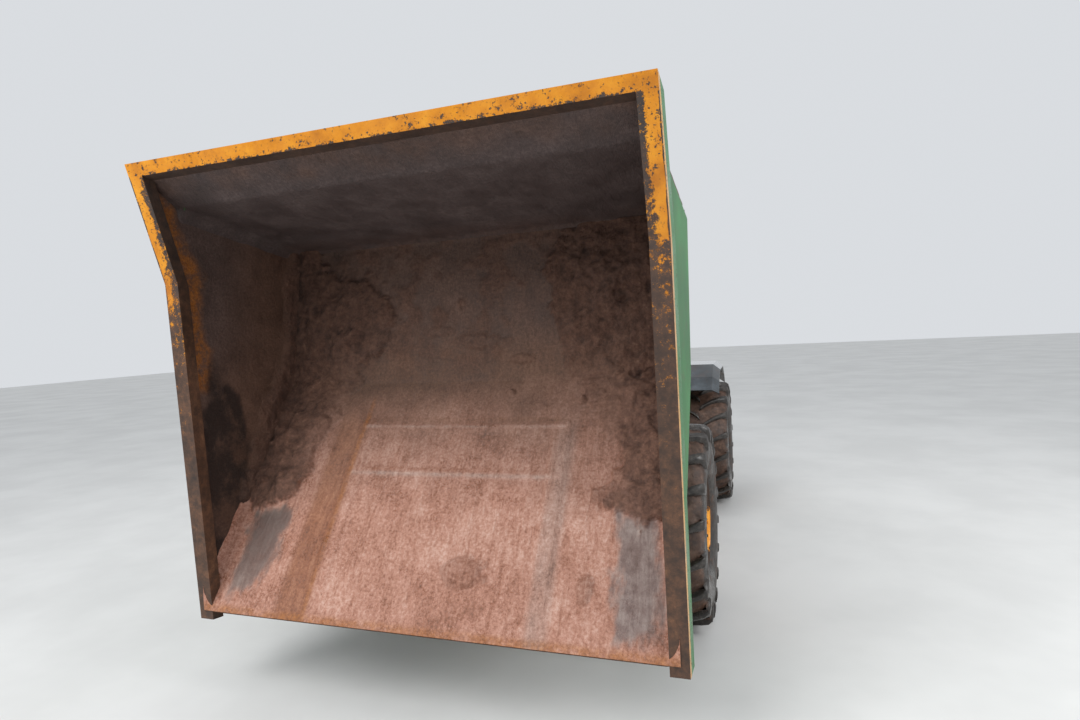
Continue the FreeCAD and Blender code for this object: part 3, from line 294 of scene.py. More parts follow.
def rail_paint(name):
    """Orange rim paint: sound on top and outside, where a painted cream reflection lightens it, ragged above
    the bend, specks on brown rust below it.
    """
    t = Tree(name)
    high, out = t.axis("Z"), t.math("ABSOLUTE", t.axis("X"))
    front = (t.facing("Y") * -1).span(0.45, 0.8)
    outward = t.facing("X") * t.math("SIGN", t.axis("X"))
    plain = t.most(outward.span(0.6, 0.9), t.facing("Z").span(0.6, 0.9))
    rag, patch, fine = t.noise(17, 9, 0.8), t.noise(5, 5, 0.65), t.noise(75, 7, 0.75)
    bar = high + rag * 0.16 > 2.652
    width = out + rag * 0.17 - high.span(2.4, 1.7, 0, 0.035)
    side = (width > 1.252) * (out + patch * 0.03 < 1.236) * (high + (rag + patch) * 0.9 > 2.95)
    specks = t.noise(26, 9, 0.85) + high.span(1, 2.1, 0, 0.1) > 0.65
    keep = t.most(front * t.most(bar, side, specks), plain * (fine > 0.38))
    keep = keep * (1.05 - fine > rag * 0.85)
    paint = t.ramp(t.noise(8, 6), "B26A0A D5860E E79C1E")
    paint = t.mix(fine.span(0.52, 0.75, 0, 0.35), paint, colour("8A5526"))
    # Painted reflection: cream over the paint on the top and outward faces.
    paint = t.mix(plain * 0.45, paint, colour("C9AC72"))
    rust = t.ramp(t.noise(26, 8, 0.75) * 0.6 + patch * 0.4,
                  "251B16 453023 62432F 8A6145", (0.34, 0.47, 0.58, 0.7))
    rust = t.mix(high.span(1.9, 2.4, 0, 0.6), rust, t.ramp(fine, "262220 443B36", (0.35, 0.65)))
    # The rim's front face, below and above its bend; behind it the rail is green.
    face = t.math("MINIMUM", high * -0.0344 - 2.3822, high * -0.3046 - 1.8189)
    behind = plain * (t.axis("Y") - face + rag * 0.008).span(0.046, 0.049)
    paint = t.mix(behind, paint, t.ramp(rag, "1F5C2B 2F7A3C", (0.35, 0.6)))
    rough = patch.span(0.3, 0.7, 0.45, 0.68) - keep * 0.2
    rise = keep * 0.6 + t.noise(80, 6) * 0.35
    t.finish(t.mix(keep, rust, paint), rough, t.bump(rise, 0.003, 0.8))


def wheel_skin(name):
    """Orange wheel paint, caked with dark mud but for ragged windows below the hub."""
    t = Tree(name)
    rag, fine, high = t.noise(11, 9, 0.78), t.noise(60, 7, 0.75), t.axis("Z")
    window = rag + t.noise(3.2, 4) * 0.7 - high.span(0.55, 0.68, 0, 0.3) - high.span(0.4, 0.3, 0, 0.2)
    clean = window.span(0.79, 0.82)
    paint = t.ramp(t.noise(7, 6), "D1800E EE9A17 F6AE34")
    paint = t.mix(fine.span(0.55, 0.75, 0, 0.5), paint, colour("6B4428"))
    cake = t.ramp(rag * 0.6 + fine * 0.4, "20150F 3B2A20 5C4434", (0.33, 0.5, 0.68))
    rise = (1 - clean) * (fine * 0.6 + 0.6)
    t.finish(t.mix(clean, cake, paint), 0.72 - clean * 0.35, t.bump(rise, 0.003, 0.8))


def gauge_face(name, centres):
    """Dark dial with a pale ring of ticks round each centre."""
    t = Tree(name)
    marks = []
    for centre in centres:
        off = t.add("VectorMath", {0: t.place, 1: tuple(centre)}, operation="SUBTRACT")
        far = t.add("VectorMath", {0: off}, "Value", operation="LENGTH")
        x, z = (t.add("SeparateXYZ", {0: off}, letter) for letter in "XZ")
        tick = t.math("COSINE", t.math("ARCTAN2", x, z * 1.36) * 24.0) > 0.55
        marks.append(tick * ((far > 0.018) * (far < 0.0235)))
    base = t.mix(t.most(*marks), t.ramp(t.noise(60, 4), "101214 1B1E21", (0.3, 0.7)), colour("D8D6CC"))
    t.finish(base, t.noise(30, 5).span(0.3, 0.7, 0.1, 0.3), Coat_Weight=0.6)


rubber("tyre_rubber")
wheel_skin("wheel_paint")
painted("skip_paint", GREEN, chips=0.5, mud=0.5, mud_top=1.7, edge=0.02, gloss=0.5)
rail_paint("rail_paint")
painted("chassis_paint", YELLOW, chips=0.5, mud=0.6)
painted("bonnet_paint", GREEN, chips=0.25, mud=0.25, gloss=0.25)
painted("black_paint", BLACK, chips=0.4, mud=0.4, gloss=0.42)
iron("axle_iron")
metal("pin_steel", "8C8C8C", 0.3, 0.42)
metal("rod_chrome", "C9C9CC", 0.12, 0.2)
metal("hot_steel", "6E6258", 0.42, 0.35)
plastic("guard_plastic", "15171A 1E2124 2C3035", 0.36)
# Mudguard plastic: lighter shades than the black plastic, a painted sheen of its wet top, with a real coat
# and lower roughness on top.
plastic("guard_painted_sheen", "212528 32383D 4D555B", 0.26, dust=0.25, wet=0.5)
vinyl("seat_vinyl")
lens("amber_lens", "C25A0A E77C14", (0.3, 0.6))
lens("red_lens", "7C0F0D B01C18", (0.3, 0.6))
lining_skin("skip_lining")


# Pieces.
def linked(name, data):
    thing = bpy.data.objects.new(name, data)
    SCENE.collection.objects.link(thing)
    return thing


def piece(name, mesh, body, slot, *nodes, look=None, smooth=True, limit=None):
    """A piece that rides on a body and stands for the nodes given. Edges past the limit stay sharp."""
    mesh.polygons.foreach_set("use_smooth", [smooth] * len(mesh.polygons))
    if limit:
        mesh.set_sharp_from_angle(angle=radians(limit))
    thing = linked(name, mesh)
    if not mesh.materials:
        mesh.materials.append(LOOKS[look or slot])
    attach(thing, body)
    if nodes:
        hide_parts(*nodes)
    return thing


def made(work, mesh=None):
    """The mesh of a bmesh that is done with."""
    mesh = mesh or bpy.data.meshes.new("part")
    work.to_mesh(mesh)
    work.free()
    return mesh


def grid_mesh(points, marks=None):
    """A mesh over a grid of points (rows, columns, 3), with named values at its points."""
    rows, columns = points.shape[:2]
    index = np.arange(rows * columns).reshape(rows, columns)
    quads = np.stack([index[:-1, :-1], index[:-1, 1:], index[1:, 1:], index[1:, :-1]], -1).reshape(-1, 4)
    mesh = bpy.data.meshes.new("grid")
    mesh.from_pydata(points.reshape(-1, 3).tolist(), [], quads.tolist())
    for key, value in (marks or {}).items():
        data = mesh.attributes.new(key, "FLOAT", "POINT").data
        data.foreach_set("value", np.ravel(value).astype(np.float32))
    return mesh


def welded(points, marks=None):
    """A grid mesh with the points that touch joined."""
    mesh, work = grid_mesh(points, marks), bmesh.new()
    work.from_mesh(mesh)
    bmesh.ops.remove_doubles(work, verts=work.verts, dist=1e-5)
    bmesh.ops.recalc_face_normals(work, faces=work.faces)
    return made(work, mesh)


def lattice(x, y, seed):
    """Repeatable values from 0 to 1 on whole-number points."""
    n = (x.astype(np.int64) * 374761393 + y.astype(np.int64) * 668265263 + seed * 362437) & 0xFFFFFFFF
    n = ((n ^ (n >> 13)) * 1274126177) & 0xFFFFFFFF
    return ((n ^ (n >> 16)) & 0xFFFF) / 65535.0


def grain(x, y, scale, octaves, seed, rough=0.5):
    """Smooth random field from 0 to 1 over two coordinates in metres."""
    total, weight, size = 0, 0, 1
    for octave in range(octaves):
        u, v = x * scale * 2 ** octave, y * scale * 2 ** octave
        a, b = np.floor(u), np.floor(v)
        p, q = u - a, v - b
        p, q = p * p * (3 - 2 * p), q * q * (3 - 2 * q)
        k = seed + 17 * octave
        low = lattice(a, b, k) * (1 - p) + lattice(a + 1, b, k) * p
        high = lattice(a, b + 1, k) * (1 - p) + lattice(a + 1, b + 1, k) * p
        total, weight = total + size * (low * (1 - q) + high * q), weight + size
        size *= rough
    return total / weight


def depth_inside(x, y, outline):
    """Signed distance to a closed outline, positive inside."""
    near, inside = np.full(x.shape, 9.0), np.zeros(x.shape, bool)
    for (a, b), (c, d) in zip(outline, outline[1:] + outline[:1]):
        t = np.clip(((x - a) * (c - a) + (y - b) * (d - b)) / ((c - a) ** 2 + (d - b) ** 2), 0, 1)
        near = np.minimum(near, np.hypot(x - a - t * (c - a), y - b - t * (d - b)))
        if b != d:
            inside ^= ((b > y) != (d > y)) & (x < (c - a) * (y - b) / (d - b) + a)
    return np.where(inside, near, -near)


def step(value, low, high):
    t = np.clip((value - low) / (high - low), 0, 1)
    return t * t * (3 - 2 * t)


def band(value, at, half, soft):
    """1 within half of a place, falling to 0 at that distance."""
    return step(half - np.abs(value - at), 0, soft)


# Skip lining: mud, clay and wear over the inner faces.
def tipped(y, z):
    """Place of a point drawn with the skip lowered, now that it stands tipped."""
    return HINGE[0] + y * np.cos(TIP) - z * np.sin(TIP), HINGE[1] + y * np.sin(TIP) + z * np.cos(TIP)


def inward(path, gap):
    """A path's points moved sideways by a gap, to its left, with its corners mitred."""
    way = np.diff(path, axis=0)
    way /= norm(way, axis=1)[:, None]
    side = np.stack([-way[:, 1], way[:, 0]], 1)
    moved = [path[0] + gap * side[0]]
    for i in range(1, len(path) - 1):
        moved.append(path[i] + gap * (side[i - 1] + side[i]) / (1 + side[i - 1] @ side[i]))
    return np.array(moved + [path[-1] + gap * side[-1]])


PROFILE = np.array([tipped(*p) for p in (LIP, TOE, HEEL, FOLD, BACK)])
INSIDE = inward(PROFILE, WALL)

# Patches seen in the photo, as X and the run back from the lip.
LEFT_MUD = [(-1.24, 0.60), (-1.13, 0.554), (-0.88, 0.605), (-0.847, 0.78), (-0.873, 0.965), (-0.80, 1.226),
            (-0.70, 1.33), (-0.67, 1.42), (-0.57, 1.56), (-0.48, 1.71), (-0.57, 1.83), (-0.72, 1.97),
            (-0.95, 2.04), (-1.05, 2.3), (-1.24, 2.3)]
RIGHT_MUD = [(1.24, 0.60), (1.09, 0.57), (0.987, 0.555), (0.865, 0.585), (0.745, 0.72), (0.855, 0.82),
             (0.81, 1.03), (0.69, 1.20), (0.61, 1.29), (0.55, 1.5), (0.45, 1.72), (0.42, 1.93),
             (0.52, 2.1), (0.8, 2.3), (1.24, 2.3)]
LEFT_STEEL = [(-1.12, 0.54), (-0.895, 0.576), (-0.845, 0.44), (-0.887, 0.264), (-0.96, 0.108),
              (-1.095, 0.079), (-1.10, 0.265)]
RIGHT_STEEL = [(0.88, 0.62), (1.09, 0.636), (1.145, 0.05), (0.914, 0.064), (0.885, 0.245), (0.895, 0.46)]
# Clumps on the front plate and the floor: place, half sizes and height.
CLUMPS = (((0.19, 0.29), (0.13, 0.085), 0.022), ((0.775, 0.265), (0.045, 0.07), 0.014),
          ((0.253, 1.253), (0.03, 0.02), 0.022), ((0.655, 1.192), (0.035, 0.022), 0.024),
          ((0.05, 1.55), (0.2, 0.05), 0.012), ((0.3, 1.45), (0.08, 0.03), 0.014),
          ((-0.2, 1.62), (0.12, 0.03), 0.010))


def fillet(far, radius, most=1):
    """Rise of a rounded corner at a distance from its other side, held below a share of its radius."""
    near = np.clip(radius - far, 0, most * radius)
    return radius - np.sqrt(radius ** 2 - near ** 2)


def strips(x, run):
    """The raised strips over the beams, 7.5 mm high with soft edges."""
    rails = band(np.abs(x), 0.57, 0.06, 0.028) * step(run, 0.1, 0.2) * step(1.1 - run, 0, 0.05)
    cross = np.maximum(band(run, 0.779, 0.035, 0.03), band(run, 1.03, 0.035, 0.03))
    return np.maximum(rails, cross * (np.abs(x) < 0.57)) * 0.0075


def mass(x, run, outline, seed):
    """Height of thick mud with a broken edge, and its mask."""
    field = partial(grain, x, run)
    rag = (field(9, 4, seed) - 0.5) * 0.16 + (field(38, 3, seed + 5) - 0.5) * 0.05
    depth = depth_inside(x, run, outline) + rag
    lumps = field(7.5, 5, seed + 9, 0.6)
    crumbs = np.abs(field(26, 4, seed + 13, 0.55) - 0.5)
    cracks = band(field(6, 3, seed + 19), 0.5, 0.035, 0.03) * step(depth, 0.05, 0.15)
    rise = 0.008 + 0.062 * step(depth, 0, 0.28) * lumps + 0.045 * lumps * lumps
    rise = rise + (1 - 0.65 * step(run, 1.25, 1.6)) * (0.024 * crumbs - 0.010 * cracks)
    mask = step(depth + 0.05 * (field(60, 3, seed + 15) - 0.5), -0.015, 0.03)
    return step(depth, -0.01, 0.035) * rise, mask


def mound(x, run, at, size, high):
    """A clump of mud at a place: its height and its mask."""
    far = np.hypot((x - at[0]) / size[0], (run - at[1]) / size[1]) + (grain(x, run, 30, 3, 71) - 0.5) * 0.7
    return high * step(1 - far, 0, 0.55) * (0.6 + 0.8 * grain(x, run, 60, 3, 73)), step(1 - far, 0, 0.2)


def hollows(rise, reach=5, depth=0.009):
    """1 where a height lies in a hollow of its surroundings, 0 on its ridges."""
    wide = np.pad(rise, reach, mode="edge")
    rows, columns = rise.shape
    spots = range(2 * reach + 1)
    mean = sum(wide[i:i + rows, j:j + columns] for i in spots for j in spots) / len(spots) ** 2
    return np.clip((mean - rise) / depth, 0, 1)


def bent_plate(x, run, corners, rise, soft):
    """Points raised from a plate that runs round one corner, which is softened."""
    a, b, c = corners
    long = norm(b - a)
    first, second = (b - a) / long, (c - b) / norm(c - b)
    x, run, rise = (value[..., None] for value in (x, run, rise))
    spot = np.where(run > long, b + (run - long) * second, a + run * first)
    turn = step(run, long - soft, long + soft)
    side = (1 - turn) * (-first[1], first[0]) + turn * (-second[1], second[0])
    side /= norm(side, axis=-1, keepdims=True)
    return np.concatenate([x, spot + side * rise], -1)


def lining(name, points, **marks):
    """A piece of the skip's lining. A mark that isn't given is 0 all over."""
    marks = {key: marks.get(key, np.zeros(points.shape[:2])) for key in MARKS}
    piece(name, grid_mesh(points, marks), "skip", "skip_paint", look="skip_lining")


def run_lining():
    """Front plate and floor: clay film over the strips, thick mud at both sides, painted shade deeper in and
    painted highlights on the crossbar ridges.
    """
    heel = norm(PROFILE[1] - PROFILE[0]) + norm(PROFILE[2] - PROFILE[1])
    x, run = np.meshgrid(np.linspace(-WALL_X, WALL_X, 300), np.arange(0.002, heel - 0.3 * FILLET, 0.0082))
    field = partial(grain, x, run)
    film = 0.0022 + 0.003 * field(14, 4, 3) + 0.0022 * grain(x * 3, run * 0.3, 30, 3, 4)
    between = step(run, 0.785, 0.83) * step(1.03 - run, 0, 0.05)
    rise = film + strips(x, run) + 0.004 * between * field(20, 4, 8)
    mud = np.zeros_like(x)
    for outline, seed in ((LEFT_MUD, 21), (RIGHT_MUD, 43)):
        high, cover = mass(x, run, outline, seed)
        thick = 0.42 + 0.58 * step(np.abs(x) + 0.25 * (field(8, 4, seed + 23) - 0.5), 0.8, 0.98)
        rise, mud = rise + high, np.maximum(mud, cover * np.maximum(thick, step(run, 1.2, 1.6)))
    for clump in CLUMPS:
        high, cover = mound(x, run, *clump)
        rise, mud = rise + high, np.maximum(mud, 0.22 * cover)
    scatter = step(run, 1.25, 1.6) * step(field(7, 4, 31), 0.45, 0.7)
    rise, mud = rise + 0.012 * scatter * field(26, 4, 33), np.maximum(mud, 0.55 * scatter)
    rise = rise + fillet(heel - run, FILLET, 0.7)
    corner = fillet(WALL_X - np.abs(x), SIDE_FILLET)
    rise = np.minimum(np.maximum(rise + 0.6 * corner, corner + film), 0.0015 + 0.7 * run)
    rag = 0.14 * (grain(x * 1.6, run * 0.7, 14, 5, 51, 0.65) - 0.5)
    left, right = (step(depth_inside(x, run, patch) + rag, -0.025, 0.05)
                   for patch in (LEFT_STEEL, RIGHT_STEEL))
    steel = np.maximum(0.62 * left, 0.9 * right) * (1 - mud)
    inside = band(x, 0, 0.6, 0.02)
    # Painted highlights: pale lines along the tops of the two crossbar ridges.
    highlight_lines = inside * np.maximum(band(run, 0.768, 0.02, 0.018), band(run, 1.045, 0.017, 0.015))
    pale = band(x - 0.02 * run, 0.58, 0.075, 0.05) * step(1.25 - run, 0, 0.3)
    pale = np.maximum(pale * (0.4 + 0.6 * grain(x, run * 0.3, 30, 3, 55)), highlight_lines * (0.4 + field(25, 3, 57)))
    tan = band(x - 0.01 * run, -0.68, 0.125, 0.06) * step(1.3 - run, 0, 0.3)
    tan = np.maximum(tan, inside * band(run, 1.085, 0.03, 0.025) * field(9, 3, 67))
    # Painted shade, growing deeper into the skip and lifted on the highlight lines. The same mark also
    # darkens the left steel patch near the lip and the muddier plate between the crossbars.
    deeper_shade = np.clip((run + 0.34 * (field(3, 5, 61, 0.6) - 0.5) - 0.5) / 0.85, 0, 1)
    shade = (0.5 * deeper_shade + 0.2 * step(run, 1.3, 1.7)) * (1 - 0.6 * highlight_lines)
    shade = np.maximum(shade, 0.4 * left * step(run, 0, 0.5))
    between = step(run, 0.78, 0.8) * step(1.05 - run, 0, 0.02)
    shade = np.maximum(shade, 0.22 * inside * between * field(18, 4, 63))
    stripe = 0.5 * band(x - 0.01 * run, -0.6, 0.02, 0.015) * step(1.3 - run, 0, 0.2)
    # The hollow mark paints shade in the hollows of the mud and the film.
    lining("lining_front", bent_plate(x, run, INSIDE[:3], rise, 0.05), mud=mud, steel=steel,
           ochre=np.maximum(step(0.05 - run, 0, 0.03) * 0.7, stripe), dark=0.4 * left, shade=shade,
           hollow=hollows(rise) * np.maximum(mud, 0.25), tan=tan, pale=pale)


def rear_lining():
    """The wall over the load, now a roof: dry clay under painted shade, scratched, thinner towards the rim.
    """
    length, more = (norm(INSIDE[i + 1] - INSIDE[i]) for i in (2, 3))
    x, run = np.meshgrid(np.linspace(-WALL_X, WALL_X, 200), np.arange(0.018, length + more - 0.05, 0.0115))
    film = 0.0015 + 0.004 * grain(x, run, 12, 5, 103) * step(0.9 - run, 0, 0.5)
    film = film + 0.001 * grain(x * 0.4, run * 3, 30, 3, 104)
    corner = fillet(WALL_X - np.abs(x), SIDE_FILLET) * step(length - run, 0, 0.03)
    rise = np.maximum(film + fillet(run, FILLET, 0.7), corner + film)
    worn = step(run, length - 0.02, length + 0.12) * grain(x, run, 9, 3, 109)
    # Painted shade over the whole roof, less at the scratched rim end, and in the hollows of the film.
    lining("lining_rear", bent_plate(x, run, INSIDE[2:], rise, 0.04), shade=1 - 0.35 * worn,
           mud=0.5 * step(0.3 - run, 0, 0.3) * grain(x, run, 6, 4, 107),
           hollow=0.5 * hollows(film, 3, 0.001))


# Patches on the left wall, as Y and Z with the skip tipped.
DARK_PATCH = [(-2.24, 1.69), (-2.07, 1.47), (-2.01, 1.18), (-2.13, 0.82), (-2.28, 0.545), (-2.38, 0.69),
       (-2.39, 1.26), (-2.29, 1.60)]
OCHRE = [(-2.50, 2.52), (-2.36, 2.31), (-2.28, 2.14), (-2.28, 1.86), (-2.29, 1.55), (-2.39, 1.56),
         (-2.44, 2.0), (-2.52, 2.39)]
WALL_MUD = [(-1.40, 2.5), (-1.62, 2.34), (-1.70, 1.72), (-1.80, 1.53), (-1.92, 1.39), (-1.99, 1.23),
            (-2.05, 1.07), (-2.09, 0.94), (-2.02, 0.86), (-1.5, 1)]


def along_path(path, marks):
    """190 points along a path whose corners stand at the marks."""
    t = np.linspace(0, 1, 190)
    return np.stack([np.interp(t, marks, path[:, i]) for i in (0, 1)], -1)


def wall_lining(name, side):
    """A side wall between the rim and the plates, rusty, with dark patches and patches of old paint, under
    painted shade that is lighter over the mud and deepest in its hollows.
    """
    rim = np.array([tipped(y, z - RAIL_DEPTH) for y, z in ((LIP[0] - 0.04, LIP[1] - 0.008), KINK, BACK)])
    upper, lower = along_path(rim, (0, 0.76, 1)), along_path(INSIDE[:4], (0, 0.42, 0.66, 1))
    w = np.linspace(0, 1, 110)[:, None, None]
    y, z = np.moveaxis(upper * (1 - w) + lower * w, -1, 0)
    field = partial(grain, y, z)
    rag = (field(8, 4, 131 + side) - 0.5) * 0.14 + (field(40, 3, 133) - 0.5) * 0.03
    caked = depth_inside(y, z, WALL_MUD)
    mud = step(caked + rag * 0.8, -0.02, 0.04) * (0.5 if side > 0 else 1)
    film = 0.0012 + 0.0035 * field(14, 5, 137) + mud * (0.006 + 0.028 * field(16, 5, 139))
    # Painted shade: the shade mark over the whole wall, lighter over the mud, and the hollow mark in the
    # mud's hollows. The dark mark is a dark patch on the wall.
    marks = {"mud": mud * 0.8, "ochre": step(depth_inside(y, z, OCHRE) + rag * 0.8, -0.05, 0.03),
             "dark": 0.9 * step(depth_inside(y, z, DARK_PATCH) + rag, -0.02, 0.05), "hollow": hollows(film) * mud,
             "shade": 0.8 - 0.3 * step(caked, -0.6, 0)}
    points = np.stack([side * (WALL_X - film), y, z], -1)
    lining(name, points[:, ::-side], **{key: value[:, ::-side] for key, value in marks.items()})


# Round things.
def turn_mesh(profile, sides):
    """A profile of (along X, radius) turned about X, closed where its ends meet the axis."""
    profile = np.array(profile, float)
    angle = np.linspace(0, TURN, sides + 1)
    x = np.repeat(profile[:, :1], sides + 1, 1)
    return welded(np.stack([x, profile[:, 1:] * np.cos(angle), profile[:, 1:] * np.sin(angle)], -1))


def turned(profile, at, way, sides=32):
    """A turned mesh as (mesh, matrix), its profile running from a place along a direction."""
    turn = Vector(way).to_track_quat("X", "Z").to_matrix().to_4x4()
    return turn_mesh(profile, sides), shift(at) @ turn


def solid(size, at=(0, 0, 0), bevel=0.004, segments=2, turn=None):
    """A rounded block as (mesh, matrix)."""
    work = bmesh.new()
    bmesh.ops.create_cube(work, size=1)
    bmesh.ops.scale(work, vec=size, verts=work.verts)
    bmesh.ops.bevel(work, geom=work.edges[:], offset=bevel, segments=segments, affect="EDGES", profile=0.6)
    return made(work), shift(at) @ (turn or Matrix.Identity(3)).to_4x4()


def tube(points, radius, sides=12, turn=0.05):
    """A round tube as (mesh, None), along a path whose corners are rounded."""
    path, out, arc = [Vector(p) for p in points], [], 6
    for i, corner in enumerate(path):
        if 0 < i < len(path) - 1:
            a, b = (corner + (path[j] - corner).normalized() * turn for j in (i - 1, i + 1))
            out += [a.lerp(corner, k / arc).lerp(corner.lerp(b, k / arc), k / arc) for k in range(arc + 1)]
        else:
            out.append(corner)
    rings, side = [], None
    for i, spot in enumerate(out):
        way = (out[min(i + 1, len(out) - 1)] - out[max(i - 1, 0)]).normalized()
        side = way.orthogonal() if side is None else side - way * side.dot(way)
        side.normalize()
        other = way.cross(side)
        rings.append([spot + radius * (cos(t) * side + sin(t) * other)
                      for t in np.linspace(0, TURN, sides + 1)])
    rings = [[out[0]] * (sides + 1)] + rings + [[out[-1]] * (sides + 1)]
    return welded(np.array([[tuple(p) for p in ring] for ring in rings])), None


def set_piece(name, parts, slot, *nodes, body="rear_frame", limit=35, look=None):
    """Joins (mesh, matrix) pairs into one piece with its sharp edges kept."""
    work = bmesh.new()
    for mesh, matrix in parts:
        start = len(work.verts)
        work.from_mesh(mesh)
        work.verts.ensure_lookup_table()
        if matrix is not None:
            bmesh.ops.transform(work, matrix=matrix, verts=work.verts[start:])
    return piece(name, made(work), body, slot, *nodes, look=look, limit=limit)


def spread(count, radius, x, start=0):
    """Places spaced evenly round X, the first turned by a share of the spacing."""
    for k in range(count):
        a = TURN * (k + start) / count
        yield x, radius * cos(a), radius * sin(a)


# Tyres and rims.
LUGS = 18
# Half of the carcass: place across the tyre and radius, from its middle to the bead.
CARCASS = [(0, 0.5535), (0.07, 0.5525), (0.14, 0.548), (0.19, 0.538), (0.222, 0.518), (0.241, 0.485),
           (0.249, 0.445), (0.248, 0.40), (0.241, 0.36), (0.229, 0.325), (0.214, 0.303), (0.2, 0.294),
           (0.17, 0.29)]
# A lug's stations: place across the tyre, shift along the tread, half width and top radius.
STATIONS = ((0.006, -0.084, 0.025, 0.583), (0.04, -0.058, 0.023, 0.5835), (0.085, -0.026, 0.0225, 0.583),
            (0.13, 0.002, 0.023, 0.581), (0.175, 0.025, 0.0245, 0.577), (0.215, 0.041, 0.026, 0.570),
            (0.246, 0.051, 0.026, 0.553), (0.2535, 0.056, 0.023, 0.515), (0.2525, 0.058, 0.020, 0.480))
SHOULDER = 0.235
# The rim's flange, outwards from the tyre's bead, and the whole section, from the dish's back to the hub.
FLANGE = [(0.18, 0.2855), (0.205, 0.2875), (0.2145, 0.294), (0.214, 0.302), (0.209, 0.300), (0.206, 0.285)]
RIM = [(0.162, 0.10), (0.162, 0.25), (0.152, 0.264), (0.1, 0.27), (-0.19, 0.27),
       *[(-x, r) for x, r in FLANGE[::-1]], *FLANGE, (0.2, 0.272), (0.19, 0.263), (0.182, 0.25),
       (0.178, 0.232), (0.18, 0.2), (0.184, 0.178), (0.184, 0.112), (0.188, 0.104), (0.2, 0.099),
       (0.205, 0.092), (0.205, 0.035), (0.21, 0.03), (0.21, 0)]


def lug_ring(work, layer, side, turn, station):
    """One cross-section of a lug, as vertices."""
    x, along, wide, top = STATIONS[station]
    foot, flare = (0.535, 0.010) if x < SHOULDER else (top - 0.03, 0.006)
    half = [(foot, wide + flare), (top - 0.004, wide + 0.001), (top, wide - 0.004)]
    ring = []
    for r, w in [(r, -w) for r, w in half] + half[::-1]:
        place = x + (0.5 * w if station < 6 else 0)
        across = min(max(place if r > foot or x < SHOULDER else x - 0.02, -0.002), 0.2545)
        a = turn - (along + w) / 0.58
        vert = work.verts.new((side * across, r * cos(a), r * sin(a)))
        vert[layer] = 1 if r > top - 0.01 else 0.3
        ring.append(vert)
    return ring


def tyre_mesh():
    profile = [(-x, r) for x, r in CARCASS[::-1]] + CARCASS[1:]
    fine = [(a + (c - a) * k / 3, b + (d - b) * k / 3)
            for (a, b), (c, d) in zip(profile, profile[1:]) for k in range(3)]
    profile = np.array(fine + [profile[-1]])
    across, angle = np.meshgrid(profile[:, 0], np.linspace(0, TURN, 181), indexing="ij")
    out = np.repeat(profile[:, 1:], 181, 1)
    wave = grain(across + 1, np.abs(angle - pi), 16, 5, 201, 0.6)
    tread = step(out, 0.47, 0.53)
    out = out + tread * 0.010 * step(wave, 0.42, 0.75) + (1 - tread) * 0.003 * (wave - 0.5)
    points = np.stack([across, out * np.cos(angle), out * np.sin(angle)], -1)
    work = bmesh.new()
    work.from_mesh(welded(points, {"lug": 0.5 - 0.5 * tread}))
    layer = work.verts.layers.float["lug"]
    for side in SIDES:
        for number in range(LUGS):
            turn = TURN * (number + (1 if side < 0 else 0.5)) / LUGS
            rings = [lug_ring(work, layer, side, turn, station) for station in range(len(STATIONS))]
            for one, two in zip(rings, rings[1:]):
                for i in range(5):
                    work.faces.new((one[i], one[i + 1], two[i + 1], two[i]))
            work.faces.new(rings[0][::-1])
            work.faces.new(rings[-1])
    bmesh.ops.recalc_face_normals(work, faces=work.faces)
    return made(work)


def rim_parts():
    along = (1, 0, 0)
    parts = [(turn_mesh(RIM, 72), None),
             (turn_mesh([(-0.005, 0), (-0.005, 0.09), (0, 0.099), (0.17, 0.1)], 36), None)]
    for at in spread(10, 0.138, 0.183):
        parts += [turned([(0, 0.021), (0.003, 0.020), (0.003, 0)], at, along, 16),
                  turned([(0, 0.0165), (0.017, 0.0165), (0.0195, 0.014), (0.0195, 0)], at, along, 6),
                  turned([(0.015, 0.009), (0.029, 0.009), (0.031, 0.007), (0.031, 0)], at, along, 12)]
    return parts + [turned([(0, 0.009), (0.008, 0.009), (0.009, 0)], at, along, 6)
                    for at in spread(8, 0.07, 0.203, 0.5)]


def wheels():
    tyre, rim = tyre_mesh(), rim_parts()
    for end, y in (("front", FRONT_AXLE), ("rear", REAR_AXLE)):
        for name, side in (("left", 1), ("right", -1)):
            at, body = shift((side * WHEEL_X, y, WHEEL_Z)), f"wheel_{end}_{name}"
            mesh = tyre.copy()
            mesh.transform(at)
            piece(f"lugged_tyre_{end}_{name}", mesh, body, "tyre_rubber", f"tyre_{end}_{name}")
            turn = at @ rotation(pi if side < 0 else 0, 4, "Z") @ rotation(0.7 * y + side, 4, "X")
            set_piece(f"disc_wheel_{end}_{name}", [(mesh, turn @ (own or Matrix())) for mesh, own in rim],
                      "wheel_paint", f"rim_{end}_{name}", body=body)


